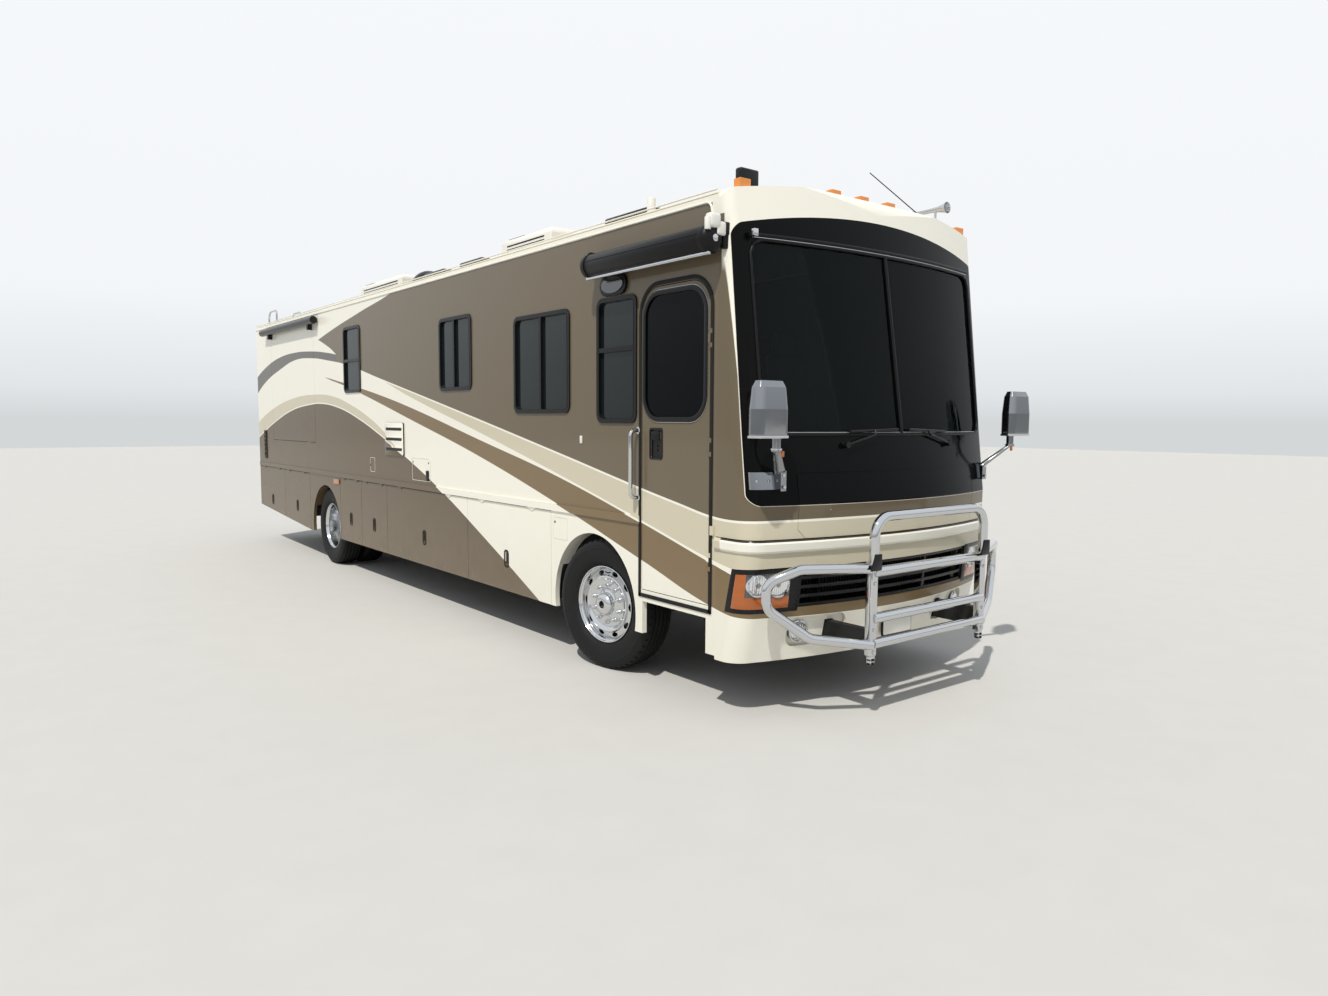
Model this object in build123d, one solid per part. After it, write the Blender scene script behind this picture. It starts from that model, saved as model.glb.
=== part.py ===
from build123d import *
import math
import os

os.makedirs("parts", exist_ok=True)

# Motorhome on a diesel coach chassis, in millimetres, with +Z up.
# It drives towards -Y and its entry door is on the -X side.
# The origin is on the ground below the middle of the whole vehicle.
# Stations are lengths measured rearwards from the front axle.

# Overall layout
front_reach = 2150.0
rear_reach = 9850.0
front_axle_y = (front_reach - rear_reach) / 2
wheelbase = 6400.0
body_width = 2590.0
half_width = body_width / 2
wall = 40.0
seam_gap = 6.0
fit_gap = 0.3

# Levels above the ground
skirt_z = 388.0
belt_z = 1174.0
rail_height = 60.0
floor_bottom_z = 1205.0
floor_top_z = 1260.0
drip_z = 3343.0
crown_z = 3470.0

# Stations of the body's panels
cap_seam = -1390.0
rear_seam = 9640.0
body_rear = 9700.0
arch_front_seam = wheelbase - 550.0
arch_rear_seam = wheelbase + 700.0
tail_rise_start = arch_rear_seam
tail_skirt_z = 560.0

# Wheels and tyres
tyre_radius = 503.0
tyre_width = 275.0
tyre_bead_radius = 285.0
rim_flange_radius = 298.0
rim_half_width = 115.0
front_wheel_x = 1136.0
rear_wheel_x = 1107.0
dual_spacing = 320.0
kingpin_x = 980.0
steer_rest_deg = 9.0
front_arch_radius = 560.0
front_arch_station = 40.0
rear_arch_radius = 555.0
rear_arch_station = wheelbase + 30
arch_centre_z = 490.0

# Chassis
rail_x = 430.0
rail_width = 80.0
rail_bottom_z = 800.0
rail_top_z = 1050.0
rail_front = -1500.0
rail_rear = 9560.0


def at(station):
    return front_axle_y + station


def block(x0, x1, s0, s1, z0, z1):
    """Box between two x values, two stations and two levels."""
    size = (abs(x1 - x0), abs(s1 - s0), abs(z1 - z0))
    centre = ((x0 + x1) / 2, at((s0 + s1) / 2), (z0 + z1) / 2)
    return Pos(*centre) * Box(*size)


def rod(start, end, radius):
    """Round bar between two points given as x, station and level."""
    a = Vector(start[0], at(start[1]), start[2])
    b = Vector(end[0], at(end[1]), end[2])
    line = b - a
    plane = Plane(origin=a, z_dir=line)
    return plane * Cylinder(radius, line.length, align=(Align.CENTER, Align.CENTER, Align.MIN))


def tube(points, bends, radius):
    """Bent round bar through points given as x, station and level."""
    route = [(x, at(s), z) for x, s, z in points]
    path = FilletPolyline(*route, radius=bends)
    start = Plane(origin=path @ 0, z_dir=path % 0)
    return sweep(start * Circle(radius), path=path)


def side_panel(outline, x0, x1):
    """Flat sketch in station and level, extruded between two x values."""
    face = Plane(origin=(x0, 0, 0), x_dir=(0, 1, 0), z_dir=(1, 0, 0)) * outline
    return extrude(face, amount=x1 - x0, dir=(1, 0, 0))


def rect(s0, s1, z0, z1, radius=0.0):
    shape = RectangleRounded(s1 - s0, z1 - z0, radius) if radius else Rectangle(s1 - s0, z1 - z0)
    return Pos(at((s0 + s1) / 2), (z0 + z1) / 2) * shape


def polygon(points):
    return make_face(Polyline(*[(at(s), z) for s, z in points], close=True))


def save(name, shape):
    if isinstance(shape, (list, tuple)):
        shape = Compound(children=list(shape))
    export_step(shape, f"parts/{name}.step")


def mirrored(shape):
    return mirror(shape, about=Plane.YZ)


# Hinges: a pin held by two fixed lugs, with the moving lug between them
hinge_length = 120.0
hinge_pin_radius = 3.0
hinge_lug_radius = 5.7


def hinge(plane, drop, fixed_leaf, fixed_sink=1.0, moving_leaf=18.0, cover=2.0):
    """Fixed and moving halves, with x along the pin, y to the moving side and z outwards."""
    half = hinge_length / 2
    quarter = hinge_length / 4

    def bar(start, end, radius):
        return plane * (Pos((start + end) / 2, 0, 0) * Rot(0, 90, 0) * Cylinder(radius, end - start))

    def leaf(start, end, y0, y1, sink):
        height = drop + sink + cover
        place = Pos((start + end) / 2, (y0 + y1) / 2, cover - height / 2)
        return plane * (place * Box(end - start, y1 - y0, height))

    fixed = bar(-half, half, hinge_pin_radius)
    for start, end in ((-half, -quarter), (quarter, half)):
        fixed += bar(start, end, hinge_lug_radius)
        fixed += leaf(start, end, -fixed_leaf, 0, fixed_sink)
    moving = bar(-quarter + fit_gap, quarter - fit_gap, hinge_lug_radius)
    moving += leaf(-quarter + fit_gap, quarter - fit_gap, 0, moving_leaf, 1.0)
    moving -= bar(-half - 5, half + 5, hinge_pin_radius + fit_gap)
    return fixed, moving


# Nose: plan outlines at rising levels.
# Each row is level, centre station, station where the front meets the side, corner radius.
nose_sections = [
    (365.0, -1780.0, -1560.0, 150.0),
    (720.0, -1850.0, -1640.0, 150.0),
    (1170.0, -1895.0, -1690.0, 150.0),
    (1400.0, -1915.0, -1690.0, 150.0),
    (1830.0, -1845.0, -1640.0, 140.0),
    (3050.0, -1662.0, -1500.0, 90.0),
    (3480.0, -1597.0, -1450.0, 70.0),
]
bumper_rows = 3
nose_back = -1150.0
cap_top_radius = 150.0
roof_edge_radius = 60.0


def nose_outline(level, centre, side, corner, inset):
    half = half_width - inset
    front = centre + inset
    edge = side + inset
    bottom = Line((-half, at(nose_back)), (half, at(nose_back)))
    right = Line((half, at(nose_back)), (half, at(edge)))
    nose = ThreePointArc((half, at(edge)), (0, at(front)), (-half, at(edge)))
    left = Line((-half, at(edge)), (-half, at(nose_back)))
    face = make_face([bottom, right, nose, left])
    tips = face.vertices().sort_by(Axis.Y)[:2]
    face = fillet(tips, radius=corner - inset)
    return Pos(0, 0, level) * face


def nose_solid(rows, inset, low=None, high=None):
    faces = []
    for index, (level, centre, side, corner) in enumerate(rows):
        if index == 0 and low is not None:
            level = low
        if index == len(rows) - 1 and high is not None:
            level = high
        faces.append(nose_outline(level, centre, side, corner, inset))
    return loft(faces, ruled=True) - block(-1400, 1400, cap_seam, nose_back + 10, 300, 3600)


def roof_outline(inset):
    """Cross-section of the body's top, seen along the vehicle."""
    bottom = 300.0
    half = half_width - inset
    top = crown_z - inset
    shoulder = drip_z + 25 - inset
    base = Line((-half, bottom), (half, bottom))
    right = Line((half, bottom), (half, shoulder))
    crown = ThreePointArc((half, shoulder), (0, top), (-half, shoulder))
    left = Line((-half, shoulder), (-half, bottom))
    face = make_face([base, right, crown, left])
    tips = face.vertices().sort_by(Axis.Y)[-2:]
    return fillet(tips, radius=roof_edge_radius - inset / 2)


def roof_prism(inset, bottom, s0, s1):
    plane = Plane(origin=(0, at(s0), 0), x_dir=(-1, 0, 0), z_dir=(0, 1, 0))
    prism = extrude(plane * roof_outline(inset), amount=s1 - s0)
    return prism - block(-1400, 1400, s0 - 10, s1 + 10, 200, bottom)


def nose_station(x, level):
    """Station of the nose's outer surface at a place seen from the front."""
    for low, high in zip(nose_sections[:-1], nose_sections[1:]):
        if low[0] <= level <= high[0]:
            share = (level - low[0]) / (high[0] - low[0])
            centre = low[1] + share * (high[1] - low[1])
            edge = low[2] + share * (high[2] - low[2])
            sag = edge - centre
            radius = (half_width ** 2 + sag ** 2) / (2 * sag)
            return centre + radius - math.sqrt(radius ** 2 - x ** 2)
    raise ValueError("level outside the nose")


def cap_profile(inset):
    """Side silhouette that rounds the top of the nose."""
    top = crown_z - inset
    brow_z, brow_s = nose_sections[-2][0], nose_sections[-2][1] + inset
    lean = (nose_sections[-1][1] - nose_sections[-2][1]) / (nose_sections[-1][0] - brow_z)
    tip_s = brow_s + lean * (top - brow_z)
    face = polygon([
        (cap_seam, 1100), (-2200, 1100), (-2200, brow_z - 150), (brow_s, brow_z), (tip_s, top), (cap_seam, top),
    ])
    tip = [v for v in face.vertices() if abs(v.Y - top) < 1 and v.X < at(cap_seam) - 50]
    face = fillet(tip, radius=cap_top_radius - inset)
    return side_panel(face, -half_width - 50, half_width + 50)


cap_bottom_z = 1176.0
cap_rows = nose_sections[bumper_rows - 1:]


def cap_solid(inset):
    whole = nose_solid(cap_rows, inset, low=cap_bottom_z)
    return whole & roof_prism(inset, 1000, -2300, cap_seam) & cap_profile(inset)


# Windshield: an opening in the nose seen from the front, in x and level
glass_half_width = 1165.0
glass_bottom_z = 1836.0
glass_top_z = 3060.0
glass_corner = 90.0
divider_width = 36.0


def front_window(grow):
    width = 2 * (glass_half_width + grow)
    height = glass_top_z - glass_bottom_z + 2 * grow
    face = RectangleRounded(width, height, glass_corner + grow)
    plane = Plane(origin=(0, at(-2300), (glass_bottom_z + glass_top_z) / 2), x_dir=(-1, 0, 0), z_dir=(0, 1, 0))
    return extrude(plane * face, amount=1000)


cap_outer = cap_solid(0)
cap_inner = cap_solid(wall)
divider = block(-divider_width / 2, divider_width / 2, -2300, -1450, glass_bottom_z - 5, glass_top_z + 5)
# Seam of the access panel below the windshield
panel_half_width = 950.0
panel_top_z = 1592.0
seam_width = 5.0
seam_depth = 6.0


def panel_outline(grow):
    half, top, low = panel_half_width + grow, panel_top_z + grow, cap_bottom_z + 55 - grow
    return [(-half, low), (-half, top), (half, top), (half, low), (half - 75, low - 75), (75 - half, low - 75)]


def seen_from_front(outline):
    plane = Plane(origin=(0, at(-2300), 0), x_dir=(1, 0, 0), z_dir=(0, -1, 0))
    return extrude(plane * make_face(Polyline(*outline, close=True)), amount=-800)


panel_seam = seen_from_front(panel_outline(seam_width / 2)) - seen_from_front(panel_outline(-seam_width / 2))
panel_seam -= nose_solid(cap_rows[:4], seam_depth, low=cap_bottom_z - 100, high=2000)
front_cap = cap_outer - cap_inner - panel_seam
for half_window in (front_window(0) - divider).solids():
    front_cap -= half_window
save("front_cap", front_cap)

glass_shell = cap_solid(8.0) - cap_solid(20.0)
panes = (glass_shell & front_window(-fit_gap)) - block(
    -divider_width / 2 - fit_gap, divider_width / 2 + fit_gap, -2300, -1400, glass_bottom_z - 50, glass_top_z + 50)
windshield_panes = panes.solids()

# Lower nose with grille, lamp and bracket openings
bumper_gap = 5.0
bumper_top_z = cap_bottom_z - bumper_gap
# Rounded ledge along the bumper's top: level and how far it stands out
ledge_rows = [(1074.0, -6.0), (1104.0, 17.0), (1150.0, 20.0), (bumper_top_z, 8.0)]
bumper_outer = nose_solid(nose_sections[:bumper_rows], 0, high=bumper_top_z)
bumper_inner = nose_solid(nose_sections[:bumper_rows], wall, high=bumper_top_z)
grille_half_width = 900.0
grille_bottom_z = 720.0
grille_top_z = 985.0
# Lamp outlines seen from the side, in station and level: the black bezel's and the lenses'
bezel_outline = [(-1482, 698), (-2300, 698), (-2300, 1012), (-1548, 984)]
lens_outline = [(-1540, 728), (-2300, 728), (-2300, 982), (-1582, 952)]
lens_inner_x = 972.0
lens_split_x = 1262.0
strip_top_z = 806.0
fog_recess = (480.0, 950.0, 452.0, 652.0)
fog_depth = 26.0
fog_radius = 62.0
bracket_x = 600.0
bracket_width = 60.0
bracket_bottom_z = 470.0
bracket_top_z = 600.0
clear = 8.0

grille_hole = block(-grille_half_width, grille_half_width, -2300, -1500, grille_bottom_z, grille_top_z)
lamp_rows = nose_sections[:bumper_rows]
lens_depth = 14.0
pod_depth = 60.0


def ledge():
    """Moulding round the top of the bumper, outside the nose's own outline."""
    low, high = nose_sections[bumper_rows - 2], nose_sections[bumper_rows - 1]
    rows = []
    for level, reach in ledge_rows:
        share = (level - low[0]) / (high[0] - low[0])
        rows.append((level, low[1] + share * (high[1] - low[1]), low[2] + share * (high[2] - low[2]), high[3], reach))
    faces = [nose_outline(level, centre, side, corner, -reach) for level, centre, side, corner, reach in rows]
    moulding = loft(faces, ruled=True) - nose_solid(lamp_rows, wall / 2, high=bumper_top_z + 20)
    return moulding - block(-1400, 1400, cap_seam, nose_back + 10, 300, 3600)


def seen_from_side(outline, side, inner_x):
    return side_panel(polygon(outline), side * inner_x, side * 1400)


def fog_zone(side):
    x0, x1, z0, z1 = fog_recess
    face = Pos(side * (x0 + x1) / 2, (z0 + z1) / 2) * RectangleRounded(x1 - x0, z1 - z0, 70)
    plane = Plane(origin=(0, at(-2300), 0), x_dir=(1, 0, 0), z_dir=(0, -1, 0))
    return extrude(plane * face, amount=-700)


bumper = bumper_outer - bumper_inner + ledge() - grille_hole
pocket = nose_solid(lamp_rows, lens_depth) - nose_solid(lamp_rows, pod_depth)
outer_skin = bumper_outer - nose_solid(lamp_rows, lens_depth + fit_gap)
fog_skin = bumper_outer - nose_solid(lamp_rows, fog_depth)
for side in (-1, 1):
    zone = seen_from_side(bezel_outline, side, grille_half_width)
    bumper = bumper + (pocket & zone) - (outer_skin & zone) - (fog_skin & fog_zone(side))
    bumper -= block(side * bracket_x - bracket_width / 2 - clear, side * bracket_x + bracket_width / 2 + clear,
                    -2300, -1500, bracket_bottom_z - clear, bracket_top_z + clear)
save("front_bumper", bumper)

# Grille of level bars between two uprights, behind the bumper's opening
grille_depth = 30.0
bar_count = 5
bar_height = 22.0
grille_skin = nose_solid(nose_sections[:bumper_rows], 10.0) - nose_solid(nose_sections[:bumper_rows], 10.0 + grille_depth)
grille_zone = block(-grille_half_width + fit_gap, grille_half_width - fit_gap, -2300, -1500,
                    grille_bottom_z + fit_gap, grille_top_z - fit_gap)
grille = grille_skin & grille_zone
pitch = (grille_top_z - grille_bottom_z - bar_height) / (bar_count - 1)
for row in range(bar_count - 1):
    low = grille_bottom_z + bar_height + row * pitch
    for x0, x1 in ((-880, -310), (-290, 290), (310, 880)):
        grille -= block(x0, x1, -2300, -1400, low, low + pitch - bar_height)

# Headlamps wrap the corners: a black bezel, an amber lens outboard and below, and a clear lens
lens_skin = nose_solid(lamp_rows, 0) - nose_solid(lamp_rows, lens_depth)
bezels = []
clear_lenses = []
turn_lenses = []
for side in (-1, 1):
    bezel_zone = seen_from_side([(s - 2 * fit_gap, z) for s, z in bezel_outline], side, grille_half_width + fit_gap)
    bezel_zone &= block(-1400, 1400, -2300, -1400, 698 + fit_gap, 1012 - fit_gap)
    lens_zone = seen_from_side(lens_outline, side, lens_inner_x)
    bezels.append((lens_skin & bezel_zone) - lens_zone)
    lens = lens_skin & seen_from_side(lens_outline, side, lens_inner_x + fit_gap)
    upper = block(side * lens_inner_x, side * lens_split_x, -2300, -1400, strip_top_z, 1100)
    clear_lenses.append(lens & upper)
    turn_lenses.append(lens - block(side * (lens_inner_x - 10), side * (lens_split_x + fit_gap), -2300, -1400,
                                    strip_top_z - fit_gap, 1100))
    fog = Plane(origin=(side * 860, at(-2300), 552), z_dir=(0, 1, 0)) * Cylinder(
        fog_radius, 700, align=(Align.CENTER, Align.CENTER, Align.MIN))
    clear_lenses.append(fog & (nose_solid(lamp_rows, 4) - nose_solid(lamp_rows, fog_depth - fit_gap)))
save("front_grille", [grille, *bezels])


# Side windows: side, front and rear station, low and high level, divider kind and its place
windows = [
    (-1, 5020, 5600, 2240, 3040, "level", 2630),
    (-1, 2080, 2790, 2200, 2910, "upright", 2454),
    (-1, 360, 1260, 1975, 2797, "upright", 813),
    (-1, -530, -25, 1900, 2820, "level", 2438),
    (1, -1180, -180, 1900, 2820, "upright", -560),
    (1, 620, 1220, 1975, 2797, "upright", 920),
    (1, 5900, 6500, 2240, 2910, "level", 2560),
    (1, 7300, 8200, 2200, 2910, "upright", 7750),
]
frame_lip = 12.0
frame_proud = 12.0
frame_bar = 34.0
window_radius = 70.0
pane_depth = 18.0
pane_thickness = 6.0

# Slide-out rooms: side, front and rear station, low and high level, depth, travel
slides = {
    "right": (-1, 6790, 8840, 1600, 3230, 690, 600),
    "left": (1, 1500, 5300, 1320, 3200, 740, 650),
}
sill_bar_width = 50.0

# Baggage doors: side, front and rear station
bay_first = 664.0
bay_seams = [arch_front_seam - 3640, arch_front_seam - 1580]
short_seam = arch_front_seam - 760
tail_seam = arch_rear_seam + 1210
door_rows = {
    "right": [(bay_first, bay_seams[0]), (bay_seams[0], bay_seams[1]), (bay_seams[1], short_seam),
              (short_seam, arch_front_seam), (arch_rear_seam, tail_seam), (tail_seam, rear_seam - 3)],
    "left": [(bay_first, bay_seams[0]), (bay_seams[0], arch_front_seam), (arch_rear_seam, rear_seam - 3)],
}

# Entry door
entry_front = -1325.0
entry_rear = -590.0
entry_bottom_z = 713.0
entry_top_z = 2840.0
entry_radius = 190.0
entry_window = (-1290.0, -612.0, 1920.0, 2800.0)
step_front = -1300.0
step_rear = -600.0
step_recess_z = 624.0


def tail_level(station):
    """Height of the skirt's lower edge, which rises behind the rear axle."""
    if station <= tail_rise_start:
        return skirt_z
    return skirt_z + (tail_skirt_z - skirt_z) * (station - tail_rise_start) / (body_rear - tail_rise_start)


def wall_sketch(side):
    face = rect(cap_seam, rear_seam, belt_z + 4, drip_z)
    face += rect(cap_seam, bay_first - seam_gap / 2, skirt_z, belt_z + 10)
    face += rect(arch_front_seam + seam_gap / 2, arch_rear_seam - seam_gap / 2, skirt_z, belt_z + 10)
    face -= Pos(at(front_arch_station), arch_centre_z) * Circle(front_arch_radius)
    face -= Pos(at(rear_arch_station), arch_centre_z) * Circle(rear_arch_radius)
    for row_side, s0, s1, z0, z1, kind, place in windows:
        if row_side == side:
            face -= rect(s0 + frame_lip, s1 - frame_lip, z0 + frame_lip, z1 - frame_lip, window_radius - frame_lip)
    for name, (row_side, s0, s1, z0, z1, depth, travel) in slides.items():
        if row_side == side:
            face -= rect(s0, s1, z0, z1)
    if side < 0:
        face -= rect(entry_front, entry_rear, entry_bottom_z + 200, entry_top_z, entry_radius)
        face -= rect(entry_front, entry_rear, entry_bottom_z - seam_gap, entry_bottom_z + 600)
        face -= rect(step_front, step_rear, skirt_z - 50, step_recess_z)
    return face


# Service hatches in the right wall, as seams: front and rear station, low and high level, corner radius
hatches = [
    (410, 632, 950, 1130, 12),
    (3060, 3540, 1280, 1515, 25),
    (4610, 4780, 1300, 1470, 25),
]
hatch_seam = 4.0
# Louvred vents on the right wall: front and rear station, low and high level, slats
vents_right = [
    (3730, 4250, 1520, 1880, 4),
    (9230, 9330, 1300, 1740, 6),
]
vent_proud = 14.0


def louvre_vent(s0, s1, z0, z1, slats):
    """Frame with slats that lean outwards and down, for the left side."""
    frame = side_panel(rect(s0, s1, z0, z1, 18) - rect(s0 + 22, s1 - 22, z0 + 22, z1 - 22, 8),
                       half_width + fit_gap, half_width + vent_proud)
    backing = side_panel(rect(s0 + 10, s1 - 10, z0 + 10, z1 - 10, 8), half_width + fit_gap, half_width + 3)
    pitch = (z1 - z0 - 44) / slats
    plane = Plane(origin=(0, at(s0 + 12), 0), x_dir=(1, 0, 0), z_dir=(0, -1, 0))
    body = frame + backing
    for row in range(slats):
        low = z0 + 22 + row * pitch
        x0, x1 = half_width + 2, half_width + vent_proud
        slat = make_face(Polyline((x0, low + 0.8 * pitch), (x1, low + 0.35 * pitch), (x1, low + 0.25 * pitch),
                                  (x0, low + 0.6 * pitch), close=True))
        body += extrude(plane * slat, amount=-(s1 - s0 - 24))
    return body


arch_lip_width = 80.0
arch_lip_thickness = 12.0


def arch_lip(station, radius, first):
    """Inner lip over the arch, from a station ahead of its centre to its rear side."""
    ring = Circle(radius + arch_lip_thickness) - Circle(radius)
    ring &= Pos((radius - first) / 2, radius) * Rectangle(radius + first + 2 * arch_lip_thickness, 1.1 * radius)
    return Pos(at(station), arch_centre_z) * ring


swing_hinges = []
for z in (1000, 1750, 2450):
    origin = (-half_width - seam_gap, at(entry_front + seam_gap / 2), z)
    swing_hinges.append(hinge(Plane(origin=origin, x_dir=(0, 0, 1), z_dir=(-1, 0, 0)), seam_gap, 24))

for name, side in (("right", -1), ("left", 1)):
    inner_x = half_width - wall
    panel = side_panel(wall_sketch(-1 if side < 0 else 1), inner_x, half_width)
    for station, radius, first in ((front_arch_station, front_arch_radius, 140.0),
                                   (rear_arch_station, rear_arch_radius, rear_arch_radius)):
        panel += side_panel(arch_lip(station, radius, first), inner_x - arch_lip_width, inner_x)
    row = slides[name]
    for s in (row[1] + 300, row[2] - 300):
        panel += block(inner_x, half_width, s - sill_bar_width, s + sill_bar_width, row[3], row[3] + seam_gap - fit_gap)
    if side < 0:
        for s0, s1, z0, z1, corner in hatches:
            line = rect(s0, s1, z0, z1, corner)
            line -= rect(s0 + hatch_seam, s1 - hatch_seam, z0 + hatch_seam, z1 - hatch_seam, corner - hatch_seam)
            panel -= side_panel(line, half_width - hatch_seam, half_width + 1)
    panel = panel if side > 0 else mirrored(panel)
    if side < 0:
        for fixed, moving in swing_hinges:
            panel += fixed
    save(f"side_wall_{name}", panel)

# Window frames and panes
frames = []
panes = []
for side, s0, s1, z0, z1, kind, place in windows:
    hole = rect(s0 + frame_bar, s1 - frame_bar, z0 + frame_bar, z1 - frame_bar, window_radius - frame_bar)
    inside = s0 + frame_lip + fit_gap, s1 - frame_lip - fit_gap, z0 + frame_lip + fit_gap, z1 - frame_lip - fit_gap
    if kind == "level":
        bar = rect(s0 + frame_bar - 5, s1 - frame_bar + 5, place - frame_bar / 2, place + frame_bar / 2)
    else:
        bar = rect(place - frame_bar / 2, place + frame_bar / 2, z0 + frame_bar - 5, z1 - frame_bar + 5)
    flange = side_panel(rect(s0, s1, z0, z1, window_radius) - hole + bar, half_width, half_width + frame_proud)
    spigot = side_panel(rect(*inside, window_radius - frame_lip) - hole + bar, half_width - wall, half_width)
    pane_face = rect(s0 + frame_bar + fit_gap, s1 - frame_bar - fit_gap, z0 + frame_bar + fit_gap,
                     z1 - frame_bar - fit_gap, window_radius - frame_bar)
    pane_face -= offset(bar, fit_gap, kind=Kind.INTERSECTION)
    pane = side_panel(pane_face, half_width - pane_depth, half_width - pane_depth + pane_thickness)
    ring = flange + spigot
    frames.append(ring if side > 0 else mirrored(ring))
    panes.extend((pane if side > 0 else mirrored(pane)).solids())
frames.extend(mirrored(louvre_vent(*row)) for row in vents_right)
save("window_frames", frames)
save("body_glass", panes + list(windshield_panes))

# Rub rails above the baggage doors
rail_proud = 14.0
rub_low_z = belt_z + 6
lift_hinge_x = half_width + seam_gap


def lift_hinges(s0, s1):
    """Two hinges above a baggage door, for the left side."""
    pairs = []
    for share in (0.2, 0.8):
        origin = (lift_hinge_x, at(s0 + share * (s1 - s0)), belt_z)
        plane = Plane(origin=origin, x_dir=(0, -1, 0), z_dir=(1, 0, 0))
        pairs.append(hinge(plane, seam_gap, seam_gap + 1, fixed_sink=0.0))
    return pairs


rub_rails = []
for side, name in ((-1, "right"), (1, "left")):
    face = rect(cap_seam + 10, rear_seam - 10, rub_low_z, rub_low_z + rail_height)
    if side < 0:
        face -= rect(entry_front - 20, entry_rear + 20, 1000, 1400)
    strip = side_panel(face, half_width, half_width + rail_proud)
    for s0, s1 in door_rows[name]:
        for fixed, moving in lift_hinges(s0, s1):
            strip += fixed
    rub_rails.extend((strip if side > 0 else mirrored(strip)).solids())
save("rub_rails", rub_rails)

# Entry door with its window, pane and latch
door_face = rect(entry_front + seam_gap, entry_rear - seam_gap, entry_bottom_z, entry_top_z - seam_gap,
                 entry_radius - seam_gap)
door_face += rect(entry_front + seam_gap, entry_rear - seam_gap, entry_bottom_z, entry_bottom_z + 400)
w0, w1, w2, w3 = entry_window
door_window_radius = 170.0
door_face -= rect(w0, w1, w2, w3, door_window_radius)
latch_front, latch_rear, latch_low, latch_high = -820.0, -690.0, 1660.0, 1860.0
door_face -= rect(latch_front, latch_rear, latch_low, latch_high, 15)
entry_door = side_panel(door_face, -half_width, -half_width + wall)
door_pane = side_panel(rect(w0 + fit_gap, w1 - fit_gap, w2 + fit_gap, w3 - fit_gap, door_window_radius),
                       -half_width + 4, -half_width + 10)
save("entry_door_glass", door_pane)
entry_door += side_panel(rect(latch_front - 5, latch_rear + 5, latch_low - 5, latch_high + 5, 15),
                         -half_width + 12, -half_width + wall)
entry_door += block(-half_width - 8, -half_width + 14, latch_front + 20, latch_rear - 20, latch_high - 70, latch_high - 20)
for fixed, moving in swing_hinges:
    entry_door += moving
save("entry_door", entry_door)

# Baggage doors hinged along their top edge
door_gap = 6.0
latch_height = 680.0
for name, rows in door_rows.items():
    side = -1 if name == "right" else 1
    for index, (s0, s1) in enumerate(rows, start=1):
        front, rear = s0 + door_gap / 2, s1 - door_gap / 2
        face = polygon([(front, tail_level(front)), (rear, tail_level(rear)), (rear, belt_z - 2),
                        (front, belt_z - 2)])
        middle = (front + rear) / 2
        face -= rect(middle - 25, middle + 25, latch_height - 65, latch_height + 65, 24)
        slab = side_panel(face, half_width - wall, half_width)
        slab += side_panel(rect(middle - 30, middle + 30, latch_height - 70, latch_height + 70, 28),
                           half_width - wall, half_width - wall + 12)
        for fixed, moving in lift_hinges(s0, s1):
            slab += moving
        save(f"baggage_door_{name}_{index}", slab if side > 0 else mirrored(slab))

# Roof, floor and rear cap
roof_wall = 45.0
roof = roof_prism(0, drip_z, cap_seam, rear_seam) - roof_prism(roof_wall, drip_z - 100, cap_seam, rear_seam)
save("roof_panel", roof)

arm_pivot_x, arm_pivot_z = -1060.0, 640.0
well_inner_x = 760.0
well_wall = 20.0
tread_z = 985.0
well_outer_x = -half_width + wall + seam_gap
floor = block(-half_width + wall, half_width - wall, cap_seam + 5, rear_seam - 5, floor_bottom_z, floor_top_z)
floor -= block(-half_width, -well_inner_x, entry_front - 30, entry_rear + 30, 1000, 1400)
stair = Polyline([(well_outer_x, entry_bottom_z), (-1010, entry_bottom_z), (-1010, tread_z),
                  (-well_inner_x, tread_z), (-well_inner_x, floor_bottom_z), (-well_inner_x + well_wall, floor_bottom_z),
                  (-well_inner_x + well_wall, tread_z - well_wall), (-1010 + well_wall, tread_z - well_wall),
                  (-1010 + well_wall, entry_bottom_z - well_wall),
                  (well_outer_x, entry_bottom_z - well_wall)], close=True)
stair_plane = Plane(origin=(0, at(entry_rear) + 30, 0), x_dir=(1, 0, 0), z_dir=(0, -1, 0))
stairs = extrude(stair_plane * make_face(stair), amount=entry_rear - entry_front + 60)
cheek = [(well_outer_x, entry_bottom_z - well_wall), (-1010 + well_wall, entry_bottom_z - well_wall),
         (-1010 + well_wall, tread_z - well_wall), (-well_inner_x + well_wall, tread_z - well_wall),
         (-well_inner_x + well_wall, floor_bottom_z), (well_outer_x, floor_bottom_z)]
for start in (entry_rear + 30 + well_wall, entry_front - 30):
    plane = Plane(origin=(0, at(start), 0), x_dir=(1, 0, 0), z_dir=(0, -1, 0))
    stairs += extrude(plane * make_face(Polyline(*cheek, close=True)), amount=well_wall)
for inner_end in (step_front + 45, step_rear - 45):
    away = -1 if inner_end < (step_front + step_rear) / 2 else 1
    near, far = inner_end + away * fit_gap, inner_end + away * 12
    stairs += block(arm_pivot_x - 30, arm_pivot_x + 30, min(near, far), max(near, far), arm_pivot_z - 30,
                    entry_bottom_z - 10)
save("cabin_floor", floor + stairs)

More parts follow.
